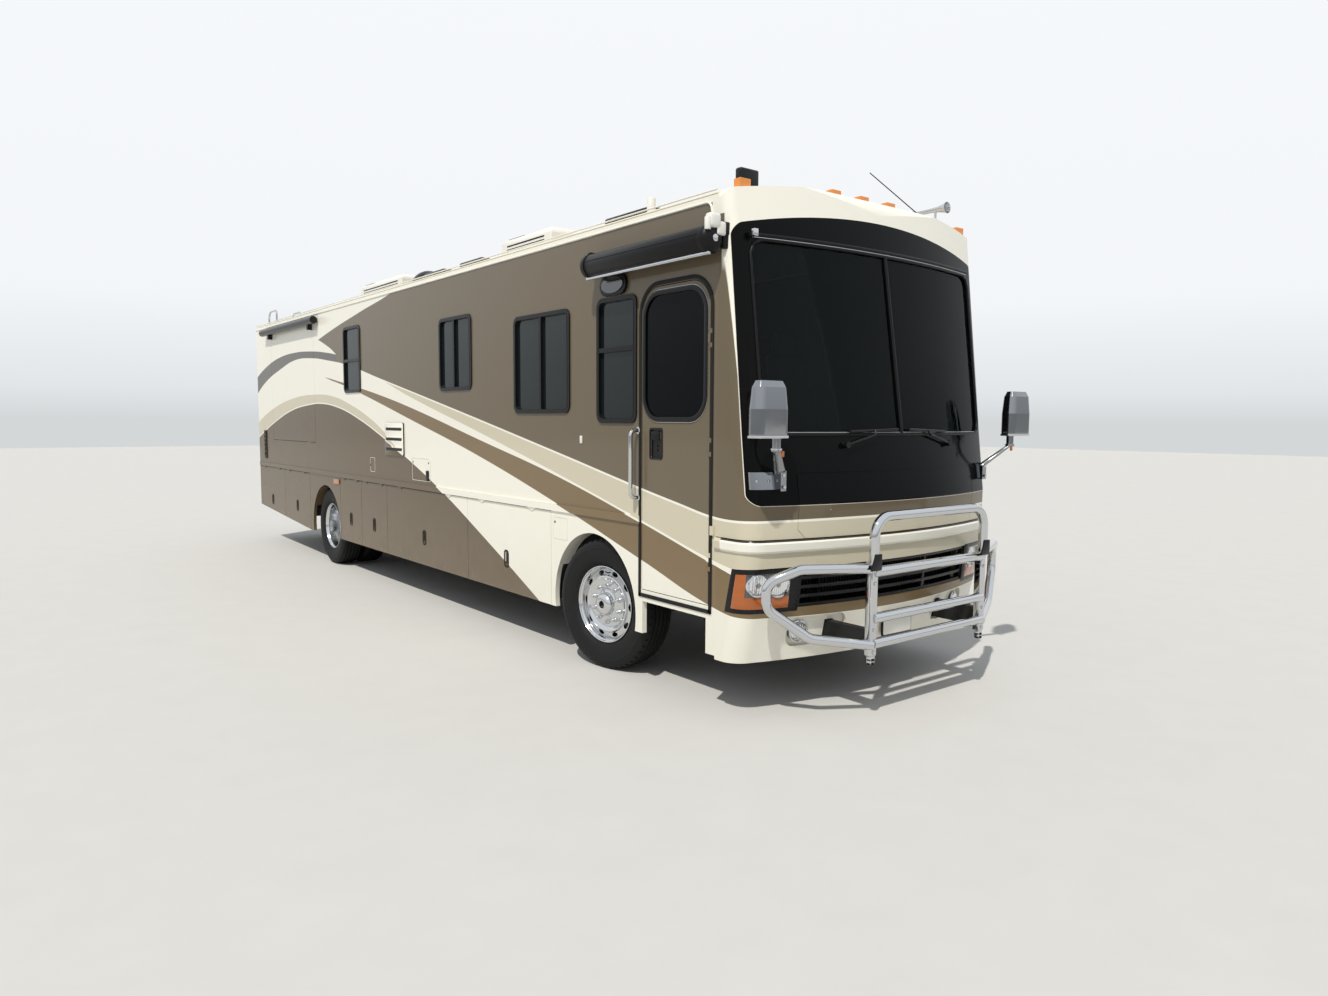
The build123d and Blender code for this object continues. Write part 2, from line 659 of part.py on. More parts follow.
lid_half_width = 760.0
lid_bottom_z = 640.0
lid_top_z = 1380.0
tail_lamp_x = 1170.0
tail_lamp = (75.0, 420.0, 1010.0)
rear_cap = roof_prism(0, tail_skirt_z, rear_seam, body_rear)
outer_edges = [e for e in rear_cap.edges().filter_by_position(Axis.Y, at(body_rear) - 1, at(body_rear) + 1)
               if e.center().Z > tail_skirt_z + 5]
rear_cap = fillet(outer_edges, radius=40)
rear_cap -= block(-lid_half_width, lid_half_width, rear_seam - 10, body_rear + 10, lid_bottom_z, lid_top_z)
for side in (-1, 1):
    rear_cap -= block(side * tail_lamp_x - 50, side * tail_lamp_x + 50, body_rear - 20, body_rear + 20,
                      tail_lamp[2] - 220, tail_lamp[2] + 220)
lid_hinges = []
for x in (-520, 520):
    origin = (x, at(body_rear + 5), lid_top_z - seam_gap / 2)
    lid_hinges.append(hinge(Plane(origin=origin, x_dir=(1, 0, 0), z_dir=(0, 1, 0)), 5.0, 24))
for fixed, moving in lid_hinges:
    rear_cap += fixed
save("rear_cap", rear_cap)
tail_lamps = [block(s * tail_lamp_x - 50 + fit_gap, s * tail_lamp_x + 50 - fit_gap, body_rear - 20, body_rear + 8,
                    tail_lamp[2] - 220 + fit_gap, tail_lamp[2] + 220 - fit_gap) for s in (-1, 1)]
save("tail_lamps", tail_lamps)

# Engine lid with louvres, hinged along its top edge
lid = block(-lid_half_width + seam_gap, lid_half_width - seam_gap, body_rear - wall, body_rear,
            lid_bottom_z + seam_gap, lid_top_z - seam_gap)
louvre_count = 7
louvre_pitch = 62.0
for row in range(louvre_count):
    low = lid_bottom_z + 140 + row * louvre_pitch
    lid -= block(-560, 560, body_rear - wall - 5, body_rear + 5, low, low + 26)
for fixed, moving in lid_hinges:
    lid += moving
save("engine_lid", lid)

# Slide-out rooms: hollow boxes open to the cabin
slide_skin = 30.0
for name, (side, s0, s1, z0, z1, depth, travel) in slides.items():
    g = seam_gap
    outer = block(half_width - depth, half_width, s0 + g, s1 - g, z0 + g, z1 - g)
    inner = block(half_width - depth - 10, half_width - wall, s0 + g + slide_skin, s1 - g - slide_skin,
                  z0 + g + slide_skin, z1 - g - slide_skin)
    room = outer - inner
    save(f"slide_out_{name}", room if side > 0 else mirrored(room))
    # Roller of the awning over the room, on two brackets at the room's edges
    roller_z = 3218.0 if side < 0 else z1 - 20
    roller_x = half_width + 62
    over = 230.0
    awning = rod((roller_x, s0 - over, roller_z), (roller_x, s1 + over, roller_z), 50)
    for s in (s0 + 60, s1 - 60):
        awning += block(half_width + fit_gap, roller_x, s - 25, s + 25, roller_z - 110, roller_z - 5)
    save(f"slide_awning_{name}", awning if side > 0 else mirrored(awning))

# Awning over the entry door
case_radius = 92.0
case_x = half_width + 100
case_z = 3062.0
case_front, case_rear = -1400.0, 120.0
awning = rod((-case_x, case_front, case_z), (-case_x, case_rear, case_z), case_radius)
for s in (case_front + 20, case_rear - 20):
    awning += block(-case_x, -half_width - fit_gap, s - 20, s + 20, case_z - 60, case_z + 110)
save("door_awning", awning)
porch = Plane(origin=(-half_width - fit_gap, at(-250), 2905), z_dir=(-1, 0, 0)) * extrude(Ellipse(60, 135), amount=30)
save("clear_lamps", clear_lenses + [porch])

# Grab handle beside the entry door
handle_s = -548.0
handle = tube([(-half_width - fit_gap, handle_s, 1850), (-half_width - 70, handle_s, 1850),
               (-half_width - 70, handle_s, 1370), (-half_width - fit_gap, handle_s, 1370)], 40, 15)

tray_top_z = rail_top_z - 20
# Frame rails with cross members, engine cradle and tow receiver
cross_stations = [rail_front + 60, 600, 1900, 3200, 4500, 5500, 7300, 8200, rail_rear - 60]
frame = []
rails = None
for side in (-1, 1):
    rail = block(side * rail_x - rail_width / 2, side * rail_x + rail_width / 2, rail_front, rail_rear,
                 rail_bottom_z, rail_top_z)
    rails = rail if rails is None else rails + rail
for s in cross_stations:
    rails += block(-rail_x, rail_x, s - 40, s + 40, rail_bottom_z + 60, rail_top_z - 60)
outrigger_stations = [bay_first - 24, *bay_seams, arch_front_seam + 20, arch_rear_seam - 20, tail_seam, rear_seam - 140]
for s in outrigger_stations:
    rails += block(-half_width + wall + 30, half_width - wall - 30, s - 20, s + 20, tray_top_z, floor_bottom_z)
engine_low_z = 560.0
engine_front, engine_rear = 8330.0, 9420.0
for s in (engine_front + 120, engine_rear - 120):
    rails += block(-rail_x - 40, rail_x + 40, s - 40, s + 40, engine_low_z - 50, engine_low_z)
    for side in (-1, 1):
        rails += block(side * rail_x - 40, side * rail_x + 40, s - 40, s + 40, engine_low_z - 10, rail_bottom_z + 10)
receiver_z = 515.0
receiver_outer, receiver_inner = 64.0, 51.0
receiver_front = 9440.0
rails += block(-rail_x - 40, rail_x + 40, receiver_front, receiver_front + 60, receiver_z - 30, receiver_z + 30)
for side in (-1, 1):
    rails += block(side * rail_x - 40, side * rail_x + 40, receiver_front, receiver_front + 60, receiver_z - 30,
                   rail_bottom_z + 10)
rails += block(-receiver_outer / 2, receiver_outer / 2, receiver_front, rear_reach, receiver_z - receiver_outer / 2,
               receiver_z + receiver_outer / 2)
rails -= block(-receiver_inner / 2, receiver_inner / 2, receiver_front + 100, rear_reach + 5,
               receiver_z - receiver_inner / 2, receiver_z + receiver_inner / 2)
pin_radius = 8.0
pin_station = rear_reach - 45
rails -= rod((-100, pin_station, receiver_z), (100, pin_station, receiver_z), pin_radius)
# Front horns carry the brush guard's brackets
guard_s = -2120.0
post_depth = 43.0
for side in (-1, 1):
    rails += block(side * (rail_x - 40), side * (bracket_x + bracket_width / 2), rail_front, rail_front + 60,
                   bracket_bottom_z, rail_bottom_z + 40)
    rails += block(side * (bracket_x - bracket_width / 2), side * (bracket_x + bracket_width / 2),
                   guard_s + post_depth + fit_gap, rail_front + 60, bracket_bottom_z, bracket_top_z)
save("frame_rails", rails)
save("engine_block", block(-rail_x + rail_width / 2 + 10, rail_x - rail_width / 2 - 10, engine_front, engine_rear,
                           engine_low_z, rail_top_z + 60))

# Basement trays beside the rails, one to each bay, hung from the outriggers
tray_inner_x = 520.0
tray_outer_x = half_width - wall - 8
tray_skin = 20.0
tray_floor_z = 430.0
tray_seams = [bay_first + 10, *bay_seams, arch_front_seam - 10]
tail_seams = [arch_rear_seam + 10, tail_seam, rear_seam - 30]
all_trays = []
for seams, base_z in ((tray_seams, tray_floor_z), (tail_seams, tail_skirt_z + 10)):
    for s0, s1 in zip(seams[:-1], seams[1:]):
        tray = block(tray_inner_x, tray_outer_x, s0 + fit_gap / 2, s1 - fit_gap / 2, base_z, tray_top_z)
        tray -= block(tray_inner_x + tray_skin, tray_outer_x + 10, s0 + tray_skin, s1 - tray_skin,
                      base_z + tray_skin, tray_top_z + 10)
        all_trays += [tray, mirrored(tray)]
save("basement_trays", all_trays)

# Front axle beam with spring seats, and air springs up to the rails
axle_z = tyre_radius
beam = block(-kingpin_x + 90, kingpin_x - 90, -50, 50, axle_z - 140, axle_z - 40)
for side in (-1, 1):
    beam += block(side * (kingpin_x - 170), side * (kingpin_x - 90), -50, 50, axle_z - 140, axle_z + 60)
    beam += block(side * (kingpin_x - 120), side * kingpin_x, -50, 50, axle_z - 55, axle_z + 55)
    beam += Pos(side * kingpin_x, at(0), axle_z) * Cylinder(55, 110)
    beam -= Pos(side * kingpin_x, at(0), axle_z) * Cylinder(25 + fit_gap, 130)
    beam += rod((side * rail_x, 0, axle_z - 45), (side * rail_x, 0, rail_bottom_z), 90)
save("front_axle", beam)

# Steering knuckles, turned to the left as the vehicle stands
arm_s = 190.0
arm_z = axle_z - 105


def turned(shape, side):
    """Turn a front wheel's piece about its kingpin by the parked steering angle."""
    pivot = Pos(side * kingpin_x, at(0), 0)
    return pivot * Rot(0, 0, steer_rest_deg) * pivot.inverse() * shape


for name, side in (("right", -1), ("left", 1)):
    k = Pos(side * kingpin_x, at(0), axle_z) * Cylinder(25, 230)
    for z0, z1 in ((axle_z - 110, axle_z - 60), (axle_z + 60, axle_z + 110)):
        k += Pos(side * kingpin_x, at(0), (z0 + z1) / 2) * Cylinder(50, z1 - z0)
        k += block(side * kingpin_x, side * (kingpin_x + 100), -45, 45, z0, z1)
    k += block(side * (kingpin_x + 65), side * (kingpin_x + 100), -60, 60, axle_z - 110, axle_z + 110)
    k += rod((side * (kingpin_x + 90), 0, axle_z), (side * (kingpin_x + 215), 0, axle_z), 40)
    k += block(side * (kingpin_x - 25), side * (kingpin_x + 25), 30, arm_s, arm_z - 20, arm_z + 15)
    k += Pos(side * kingpin_x, at(arm_s), arm_z - 2.5) * Cylinder(28, 35)
    save(f"knuckle_{name}", turned(k, side))

arm_turn = math.radians(steer_rest_deg)
arm_dx = -arm_s * math.sin(arm_turn)
arm_ds = arm_s * math.cos(arm_turn)
rod_z = arm_z - 45
tie = rod((-kingpin_x + arm_dx, arm_ds, rod_z), (kingpin_x + arm_dx, arm_ds, rod_z), 18)
for side in (-1, 1):
    tie += Pos(side * kingpin_x + arm_dx, at(arm_ds), rod_z + 3) * Cylinder(26, 2 * (arm_z - 20 - fit_gap - rod_z - 3))
save("tie_rod", tie)

# Wheels, drawn about +Z as the outboard direction
# Rows of the tyre: how far outboard, and the distance from the middle to the flats
tyre_rows = [(-98.0, tyre_bead_radius + fit_gap), (-tyre_width / 2, 408.0), (-100.0, tyre_radius),
             (100.0, tyre_radius), (tyre_width / 2, 408.0), (98.0, tyre_bead_radius + fit_gap)]
tyre_sides = 64


def spin_profile(points):
    face = Plane.XZ * make_face(Polyline(*points, close=True))
    return revolve(face, Axis.Z)


def make_tyre():
    """Ring of flat facets, which keeps six tyres light, with a flat at the ground."""
    rows = tyre_rows
    half_step = math.pi / tyre_sides
    rings = []
    for z, flat in rows:
        turns = [half_step * (2 * i + 1) for i in range(tyre_sides)]
        corner = flat / math.cos(half_step)
        rings.append([Vector(corner * math.cos(a), corner * math.sin(a), z) for a in turns])
    faces = []
    for ring, following in zip(rings, rings[1:] + rings[:1]):
        for i in range(tyre_sides):
            j = (i + 1) % tyre_sides
            faces.append(Face(Wire.make_polygon([ring[i], ring[j], following[j], following[i]])))
    return Solid(Shell(faces))


hand_holes = 10
lug_count = 10


def make_rim(disc_z, dish_z, nose_z):
    """Disc wheel: barrel with flanges, dished disc with oval hand holes, hub with a cap."""
    w = rim_half_width
    barrel = spin_profile([(rim_flange_radius, -w), (rim_flange_radius, -w + 12), (tyre_bead_radius, -w + 14),
                           (tyre_bead_radius, w - 14), (rim_flange_radius, w - 12), (rim_flange_radius, w),
                           (rim_flange_radius - 12, w), (tyre_bead_radius - 12, w - 16),
                           (tyre_bead_radius - 12, -w + 16), (rim_flange_radius - 12, -w)])
    disc = spin_profile([(60, disc_z - 18), (175, disc_z - 18), (250, dish_z - 18), (tyre_bead_radius - 6, dish_z - 18),
                         (tyre_bead_radius - 6, dish_z), (255, dish_z), (180, disc_z), (60, disc_z)])
    hub = spin_profile([(0, disc_z - 20), (110, disc_z - 20), (110, disc_z + 22), (95, disc_z + 30), (92, nose_z - 24),
                        (70, nose_z - 6), (0, nose_z)])
    disc += hub
    middle = (disc_z + dish_z) / 2
    for step in range(hand_holes):
        angle = 360 / hand_holes * step
        slot = extrude(SlotOverall(62, 40), amount=120, both=True)
        disc -= Rot(0, 0, angle) * Pos(218, 0, middle) * Rot(0, 0, 90) * slot
    for step in range(lug_count):
        angle = 360 / lug_count * (step + 0.5)
        disc += Rot(0, 0, angle) * Pos(143, 0, disc_z + 14) * Cylinder(15, 32)
    return barrel + disc


def place_wheel(shape, side, x, station):
    turn = Rot(0, 90 * side, 0)
    return Pos(side * x, at(station), axle_z) * turn * shape


front_disc = (82.0, 52.0, 142.0)
rear_disc = (-140.0, -88.0, 20.0)
front_rim = make_rim(*front_disc)
front_hub = spin_profile([(40 + fit_gap, -20), (105, -20), (105, front_disc[0] - 18), (40 + fit_gap, front_disc[0] - 18)])
front_rim = front_rim + front_hub
front_tyre = make_tyre()
for name, side in (("right", -1), ("left", 1)):
    save(f"front_rim_{name}", turned(place_wheel(front_rim, side, front_wheel_x, 0), side))
    save(f"front_tyre_{name}", turned(place_wheel(front_tyre, side, front_wheel_x, 0), side))

outer_rim = make_rim(*rear_disc)
for name, side in (("right", -1), ("left", 1)):
    outer = place_wheel(outer_rim, side, rear_wheel_x, wheelbase)
    inner_w = rim_half_width
    inner = spin_profile([(rim_flange_radius, -inner_w), (rim_flange_radius, -inner_w + 12),
                          (tyre_bead_radius, -inner_w + 14), (tyre_bead_radius, inner_w - 14),
                          (rim_flange_radius, inner_w - 12), (rim_flange_radius, inner_w),
                          (rim_flange_radius - 12, inner_w), (tyre_bead_radius - 12, inner_w - 16),
                          (tyre_bead_radius - 12, -inner_w + 16), (rim_flange_radius - 12, -inner_w)])
    mate = dual_spacing + rear_disc[0] - 18
    inner += spin_profile([(60, mate - 18), (175, mate - 18), (250, 70), (tyre_bead_radius - 6, 70),
                           (tyre_bead_radius - 6, 88), (255, 88), (180, mate), (60, mate)])
    inner += spin_profile([(60, mate - 60), (150, mate - 60), (150, mate), (60, mate)])
    inner = place_wheel(inner, side, rear_wheel_x - dual_spacing, wheelbase)
    save(f"rear_rims_{name}", outer + inner)
    tyres = [place_wheel(make_tyre(), side, rear_wheel_x - n * dual_spacing, wheelbase) for n in (0, 1)]
    save(f"rear_tyres_{name}", tyres)

# Rear axle: tube, differential and air springs
axle_end_x = rear_wheel_x - dual_spacing + 150
tube_radius = 60.0 - fit_gap
rear = rod((-axle_end_x, wheelbase, axle_z), (axle_end_x, wheelbase, axle_z), tube_radius)
rear += Pos(0, at(wheelbase), axle_z) * Sphere(185)
rear += rod((0, wheelbase, axle_z), (0, wheelbase + 330, axle_z), 90)
for side in (-1, 1):
    rear += rod((side * rail_x, wheelbase, axle_z), (side * rail_x, wheelbase, rail_bottom_z), 90)
save("rear_axle", rear)

# Brush guard of bright tubes on two posts
tube_r = 33.0
post_x = 600.0
cross_levels = (971.0, 673.0, 510.0)
hoop_top_z = 1320.0
wing_route = [(1225.0, -2000.0, 1020.0), (1400.0, -1960.0, 940.0), (1400.0, -1960.0, 780.0), (1060.0, -2000.0, 570.0)]
guard = []
guard_shape = None


def add_tube(shape):
    global guard_shape
    guard_shape = shape if guard_shape is None else guard_shape + shape


for side in (-1, 1):
    add_tube(block(side * post_x - 30, side * post_x + 30, guard_s - 12, guard_s + post_depth, 430, 1040))
    add_tube(rod((side * post_x, guard_s + 10, 372), (side * post_x, guard_s + 10, 440), 22))
    wing = [(side * x, s, z) for x, s, z in wing_route]
    add_tube(tube([(side * post_x, guard_s, wing_route[0][2] - 20), *wing, (side * post_x, guard_s, cross_levels[2] - 10)],
                  [70, 75, 75, 90], tube_r))
for level in cross_levels:
    add_tube(rod((-post_x, guard_s, level), (post_x, guard_s, level), tube_r))
add_tube(tube([(-post_x, guard_s, 1000), (-post_x, guard_s, hoop_top_z), (post_x, guard_s, hoop_top_z),
               (post_x, guard_s, 1000)], [130, 130], tube_r))
save("brush_guard", guard_shape)

# Mirrors: plate curved to the cap, clamp, tapered leg, neck with its ring, head and glass
head_x, head_s = 1335.0, -1900.0
# Rows of the head: level, width, depth
head_rows = [(1824.0, 256.0, 104.0), (1842.0, 268.0, 118.0), (1990.0, 264.0, 122.0), (2120.0, 236.0, 104.0),
             (2158.0, 196.0, 70.0)]
glass_low, glass_high = 1852.0, 2110.0
plate_rows = cap_rows[:3]
plate_skin = nose_solid(plate_rows, -9.0, low=1300.0, high=1800.0) - nose_solid(plate_rows, 0, low=1290.0, high=1810.0)
mirror_heads = []
mirror_panes = []
for side in (-1, 1):
    plate = plate_skin & block(side * 1050, side * 1262, -2300, -1500, 1494, 1602)
    foot_s = nose_station(1095, 1550)
    foot = block(side * 1072, side * 1120, foot_s - 62, foot_s - 2, 1486, 1612)
    leg_low = Plane(origin=(side * 1100, at(foot_s - 36), 1592), x_dir=(side, 0, 0), z_dir=(0, 0, 1)) * RectangleRounded(
        84, 36, 12)
    leg_high = Plane(origin=(side * 1258, at(head_s + 6), 1742), x_dir=(side, 0, 0), z_dir=(0, 0, 1)) * RectangleRounded(
        44, 40, 12)
    leg = loft([leg_low, leg_high], ruled=True)
    neck = Pos(side * 1266, at(head_s), 1785) * Cylinder(27, 92) + Pos(side * 1266, at(head_s), 1746) * Cylinder(33, 16)
    sections = [Pos(side * head_x, at(head_s), z) * RectangleRounded(w, d, 0.42 * d) for z, w, d in head_rows]
    head = loft(sections, ruled=True)
    pocket = block(side * (head_x - 104), side * (head_x + 104), head_s + 34, head_s + 90, glass_low, glass_high)
    mirror_heads.append(plate + foot + leg + neck + (head - pocket) - cap_outer)
    mirror_panes.append(block(side * (head_x - 104 + fit_gap), side * (head_x + 104 - fit_gap), head_s + 34 + fit_gap,
                              head_s + 40, glass_low + fit_gap, glass_high - fit_gap))
save("mirrors", mirror_heads)
save("mirror_glass", mirror_panes)

# Wipers parked along the bottom of the windshield
wipers = []
for side in (-1, 1):
    pivot = (side * 560, nose_station(560, 1770) - 40, 1770)
    base = rod((pivot[0], nose_station(560, 1770) - 2, 1770), pivot, 22)
    elbow = (side * 300, nose_station(300, 1835) - 34, 1835)
    arm = rod((pivot[0], pivot[1] + 10, 1770), elbow, 8)
    blade = rod((side * 520, nose_station(520, 1855) - 22, 1855), (side * 60, nose_station(60, 1870) - 22, 1870), 9)
    blade += rod(elbow, (side * 290, nose_station(290, 1862) - 24, 1862), 8)
    wipers.append((base + arm + blade) - cap_outer)
save("wipers", wipers)

# Amber lamps: turn lenses, roof markers and side markers
amber = list(turn_lenses)
for x in (-1150, -295, 0, 295, 1150):
    top = 3462 if abs(x) < 500 else 3400
    amber.append(block(x - 45, x + 45, -1475, -1415, top - 60, top + 42) - cap_outer)
for side in (-1, 1):
    amber.append(block(side * (half_width + fit_gap), side * (half_width + 14), arch_front_seam + 20,
                       arch_front_seam + 220, 1090, 1150))
save("amber_lamps", amber)

# Roof equipment
roof_rows = [
    (-780, -180, 1500, 2450, 3390, 3690),
    (-780, -180, 5000, 6400, 3390, 3690),
]
units = []
for x0, x1, s0, s1, z0, z1 in roof_rows:
    unit = block(x0, x1, s0, s1, z0, z1)
    unit = fillet(unit.edges().group_by(Axis.Z)[-1], radius=60)
    units.append(unit - roof_prism(-fit_gap, 1000, s0 - 100, s1 + 100))
save("roof_air_units", units)
vent_rows = [(-880, -480, -300, 200), (-880, -480, 2700, 3200), (-880, -480, 3600, 4100), (200, 600, 4300, 4700),
             (200, 600, 7600, 8000)]
vents = []
for x0, x1, s0, s1 in vent_rows:
    vent = block(x0, x1, s0, s1, 3300, 3560)
    vent = fillet(vent.edges().group_by(Axis.Z)[-1], radius=30)
    vents.append(vent - roof_prism(-fit_gap, 1000, s0 - 100, s1 + 100))
dome = Pos(-620, at(4550), 3440) * Sphere(230)
dome -= roof_prism(-fit_gap, 1000, 4000, 5100)
# Small box and whip aerial behind the front cap
aerial_x, aerial_s = -880.0, -1200.0
aerial_box = block(aerial_x - 100, aerial_x + 100, aerial_s - 100, aerial_s + 100, 3300, 3650)
aerial_box = fillet(aerial_box.edges().group_by(Axis.Z)[-1], radius=25)
whip = rod((1000, -1345, 3436), (1000, -690, 3998), 5) + rod((1000, -1345, 3380), (1000, -1345, 3450), 16)
fittings = [thing - roof_prism(-fit_gap, 1000, -1389, -600) for thing in (aerial_box, whip)]
save("roof_vents", vents + [dome] + fittings)
# Trumpet horn: bell to the front, tail fitting and stand
horns = []
horn_length = 310.0
for x, s, z in ((1160, -1345, 3622),):
    bell = Plane.XZ * make_face(Polyline((0, 0), (17, 0), (18, 150), (23, 225), (34, 275), (46, 310), (42, 310),
                                         (30, 276), (19, 226), (0, 200), close=True))
    horn = Plane(origin=(x, at(s + horn_length), z), z_dir=(0, -1, 0)) * revolve(bell, Axis.Z)
    horn += rod((x, s + horn_length - 5, z), (x, s + horn_length + 60, z), 27)
    for foot_s in (s + 110, s + horn_length + 20):
        horn += rod((x, foot_s, 3300), (x, foot_s, z - 5), 10)
    horns.append(horn - roof_prism(-fit_gap, 1000, cap_seam - 5, s + 700) - cap_outer)
save("roof_horns", horns)

# Ladder on the rear cap with hoops over the roof edge
ladder_x = (-1060.0, -700.0)
ladder_s = body_rear + 80
ladder = None
for x in ladder_x:
    leg = tube([(x, body_rear + fit_gap, 1560), (x, ladder_s, 1560), (x, ladder_s, 3620), (x, 9350, 3620),
                (x, 9350, 3425)], [40, 120, 60], 14)
    ladder = leg if ladder is None else ladder + leg
for step in range(6):
    z = 1700 + 310 * step
    ladder += rod((ladder_x[0], ladder_s, z), (ladder_x[1], ladder_s, z), 13)
ladder -= roof_prism(-fit_gap, 1000, 9000, rear_seam + 20)
save("ladder_and_handle", [ladder, handle])

# Cab fittings seen through the glass
dash = side_panel(polygon([(-1760, floor_top_z), (-1250, floor_top_z), (-1150, 1560), (-1180, 1740), (-1400, 1800), (-1760, 1780)]),
                  -1000, 1000)
dash &= cap_solid(wall + 20) + block(-1300, 1300, cap_seam - 1, 0, 1000, 3000)
wheel_x, wheel_s, wheel_z = 620.0, -1010.0, 1840.0
column_tilt = 35.0
wheel_plane = Plane(origin=(wheel_x, at(wheel_s), wheel_z), z_dir=(0, math.sin(math.radians(column_tilt)),
                                                                  math.cos(math.radians(column_tilt))))
steer = Torus(225, 14)
steer += Box(440, 36, 14) + Cylinder(50, 40)
shaft_radius = 22.0
steer += Pos(0, 0, -90) * Cylinder(shaft_radius, 160)
save("steering_wheel", wheel_plane * steer)
column = Pos(0, 0, -200) * Cylinder(45, 280) - Pos(0, 0, -120) * Cylinder(shaft_radius + fit_gap, 120)
save("dashboard", dash + wheel_plane * column)
seats = []
for side in (-1, 1):
    x = side * 620 if side > 0 else -480
    x0, x1 = x - 260, x + 260
    seat = block(x0, x1, -760, -200, 1600, 1760)
    back = side_panel(polygon([(-300, 1740), (-180, 1740), (-20, 2480), (-130, 2480)]), x0, x1)
    pedestal = block(x - 150, x + 150, -620, -330, floor_top_z, 1610)
    seats.append(seat + back + pedestal)
save("cab_seats", seats)

# Folding entry step: two arms and a tread held level
arm_length = 250.0
arms = None
for s in (step_front + 60, step_rear - 60):
    bar = rod((arm_pivot_x, s, arm_pivot_z), (arm_pivot_x + arm_length, s, arm_pivot_z), 12)
    arms = bar if arms is None else arms + bar
arms += rod((arm_pivot_x, step_front + 45, arm_pivot_z), (arm_pivot_x, step_rear - 45, arm_pivot_z), 14)
save("step_arms", arms)
tread_x = arm_pivot_x + arm_length
tread = block(tread_x - 200, tread_x + 70, step_front + 90, step_rear - 90, arm_pivot_z - 20, arm_pivot_z + 14)
for s in (step_front + 72 + fit_gap, step_rear - 72 - fit_gap):
    middle = (step_front + step_rear) / 2
    tread += rod((tread_x, s, arm_pivot_z), (tread_x, middle, arm_pivot_z), 8)
save("step_tread", tread)
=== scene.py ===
import bmesh
import bpy
import math
from mathutils import Matrix, Vector

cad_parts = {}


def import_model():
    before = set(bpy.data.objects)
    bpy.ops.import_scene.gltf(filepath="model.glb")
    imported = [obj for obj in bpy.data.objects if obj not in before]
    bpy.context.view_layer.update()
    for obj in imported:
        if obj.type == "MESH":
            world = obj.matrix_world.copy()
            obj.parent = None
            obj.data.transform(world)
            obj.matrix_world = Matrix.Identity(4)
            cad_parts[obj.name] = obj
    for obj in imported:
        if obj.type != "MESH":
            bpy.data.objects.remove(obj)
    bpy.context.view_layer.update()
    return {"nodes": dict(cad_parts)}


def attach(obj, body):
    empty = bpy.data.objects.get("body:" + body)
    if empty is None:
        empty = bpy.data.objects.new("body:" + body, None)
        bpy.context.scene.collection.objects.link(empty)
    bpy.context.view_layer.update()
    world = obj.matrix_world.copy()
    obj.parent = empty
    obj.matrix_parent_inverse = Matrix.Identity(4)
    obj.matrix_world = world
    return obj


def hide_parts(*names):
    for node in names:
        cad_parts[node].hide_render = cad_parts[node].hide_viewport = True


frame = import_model()
nodes = frame["nodes"]

# Motorhome, driving towards -Y, with its entry side on -X. Metres, as the frame is.
# A station is a length rearwards from the front axle.
coach = {
    "axleY": -3.85,
    "halfWidth": 1.295,
    "wheelbase": 6.4,
    "axleZ": 0.503,
}


def at(station):
    return coach["axleY"] + station

# Camera

view = {
    "eye": (-5.1435, -9.6067, 1.9167),
    "yaw": 38.0915,
    "pitch": -4.8587,
    "roll": 0.3280,
    "lens": 24.51,
}


def setCamera():
    yaw, pitch, roll = (math.radians(view[k]) for k in ("yaw", "pitch", "roll"))
    ahead = Vector((math.sin(yaw) * math.cos(pitch), math.cos(yaw) * math.cos(pitch), math.sin(pitch)))
    right = Vector((math.cos(yaw), -math.sin(yaw), 0))
    up = right.cross(ahead)
    rolledRight = math.cos(roll) * right + math.sin(roll) * up
    rolledUp = math.cos(roll) * up - math.sin(roll) * right
    bpy.ops.object.camera_add(location=view["eye"])
    camera = bpy.context.object
    turn = Matrix((rolledRight, rolledUp, -ahead)).transposed().to_4x4()
    camera.matrix_world = Matrix.Translation(view["eye"]) @ turn
    camera.data.lens = view["lens"]
    camera.data.clip_end = 200
    bpy.context.scene.camera = camera


setCamera()
bpy.context.scene.view_settings.view_transform = "Standard"
print("camera set")

# Shader maths written as Python expressions


def operator(operation, swapped=False):
    # A method that joins this value with another one
    def method(self, other=None):
        return self.maths(operation, other, swapped)
    return method


class Link:
    def __init__(self, finish, socket):
        self.finish = finish
        self.socket = socket

    def maths(self, operation, other=None, swapped=False, clamp=False):
        values = [self] if other is None else [other, self] if swapped else [self, other]
        settings = {"operation": operation, "use_clamp": clamp}
        return self.finish.node("ShaderNodeMath", settings, dict(enumerate(values)))

    __add__ = __radd__ = operator("ADD")
    __sub__ = operator("SUBTRACT")
    __rsub__ = operator("SUBTRACT", swapped=True)
    __mul__ = __rmul__ = operator("MULTIPLY")
    __truediv__ = operator("DIVIDE")
    __abs__ = operator("ABSOLUTE")
    __pow__ = operator("POWER")
    least = operator("MINIMUM")
    most = operator("MAXIMUM")

    def over(self, level, soft=0.0015):
        # 1 where this is more than the level, with a short soft edge
        return ((self - level) / soft + 0.5).maths("ADD", 0.0, clamp=True)

    def under(self, level, soft=0.0015):
        return self.over(level, -soft)


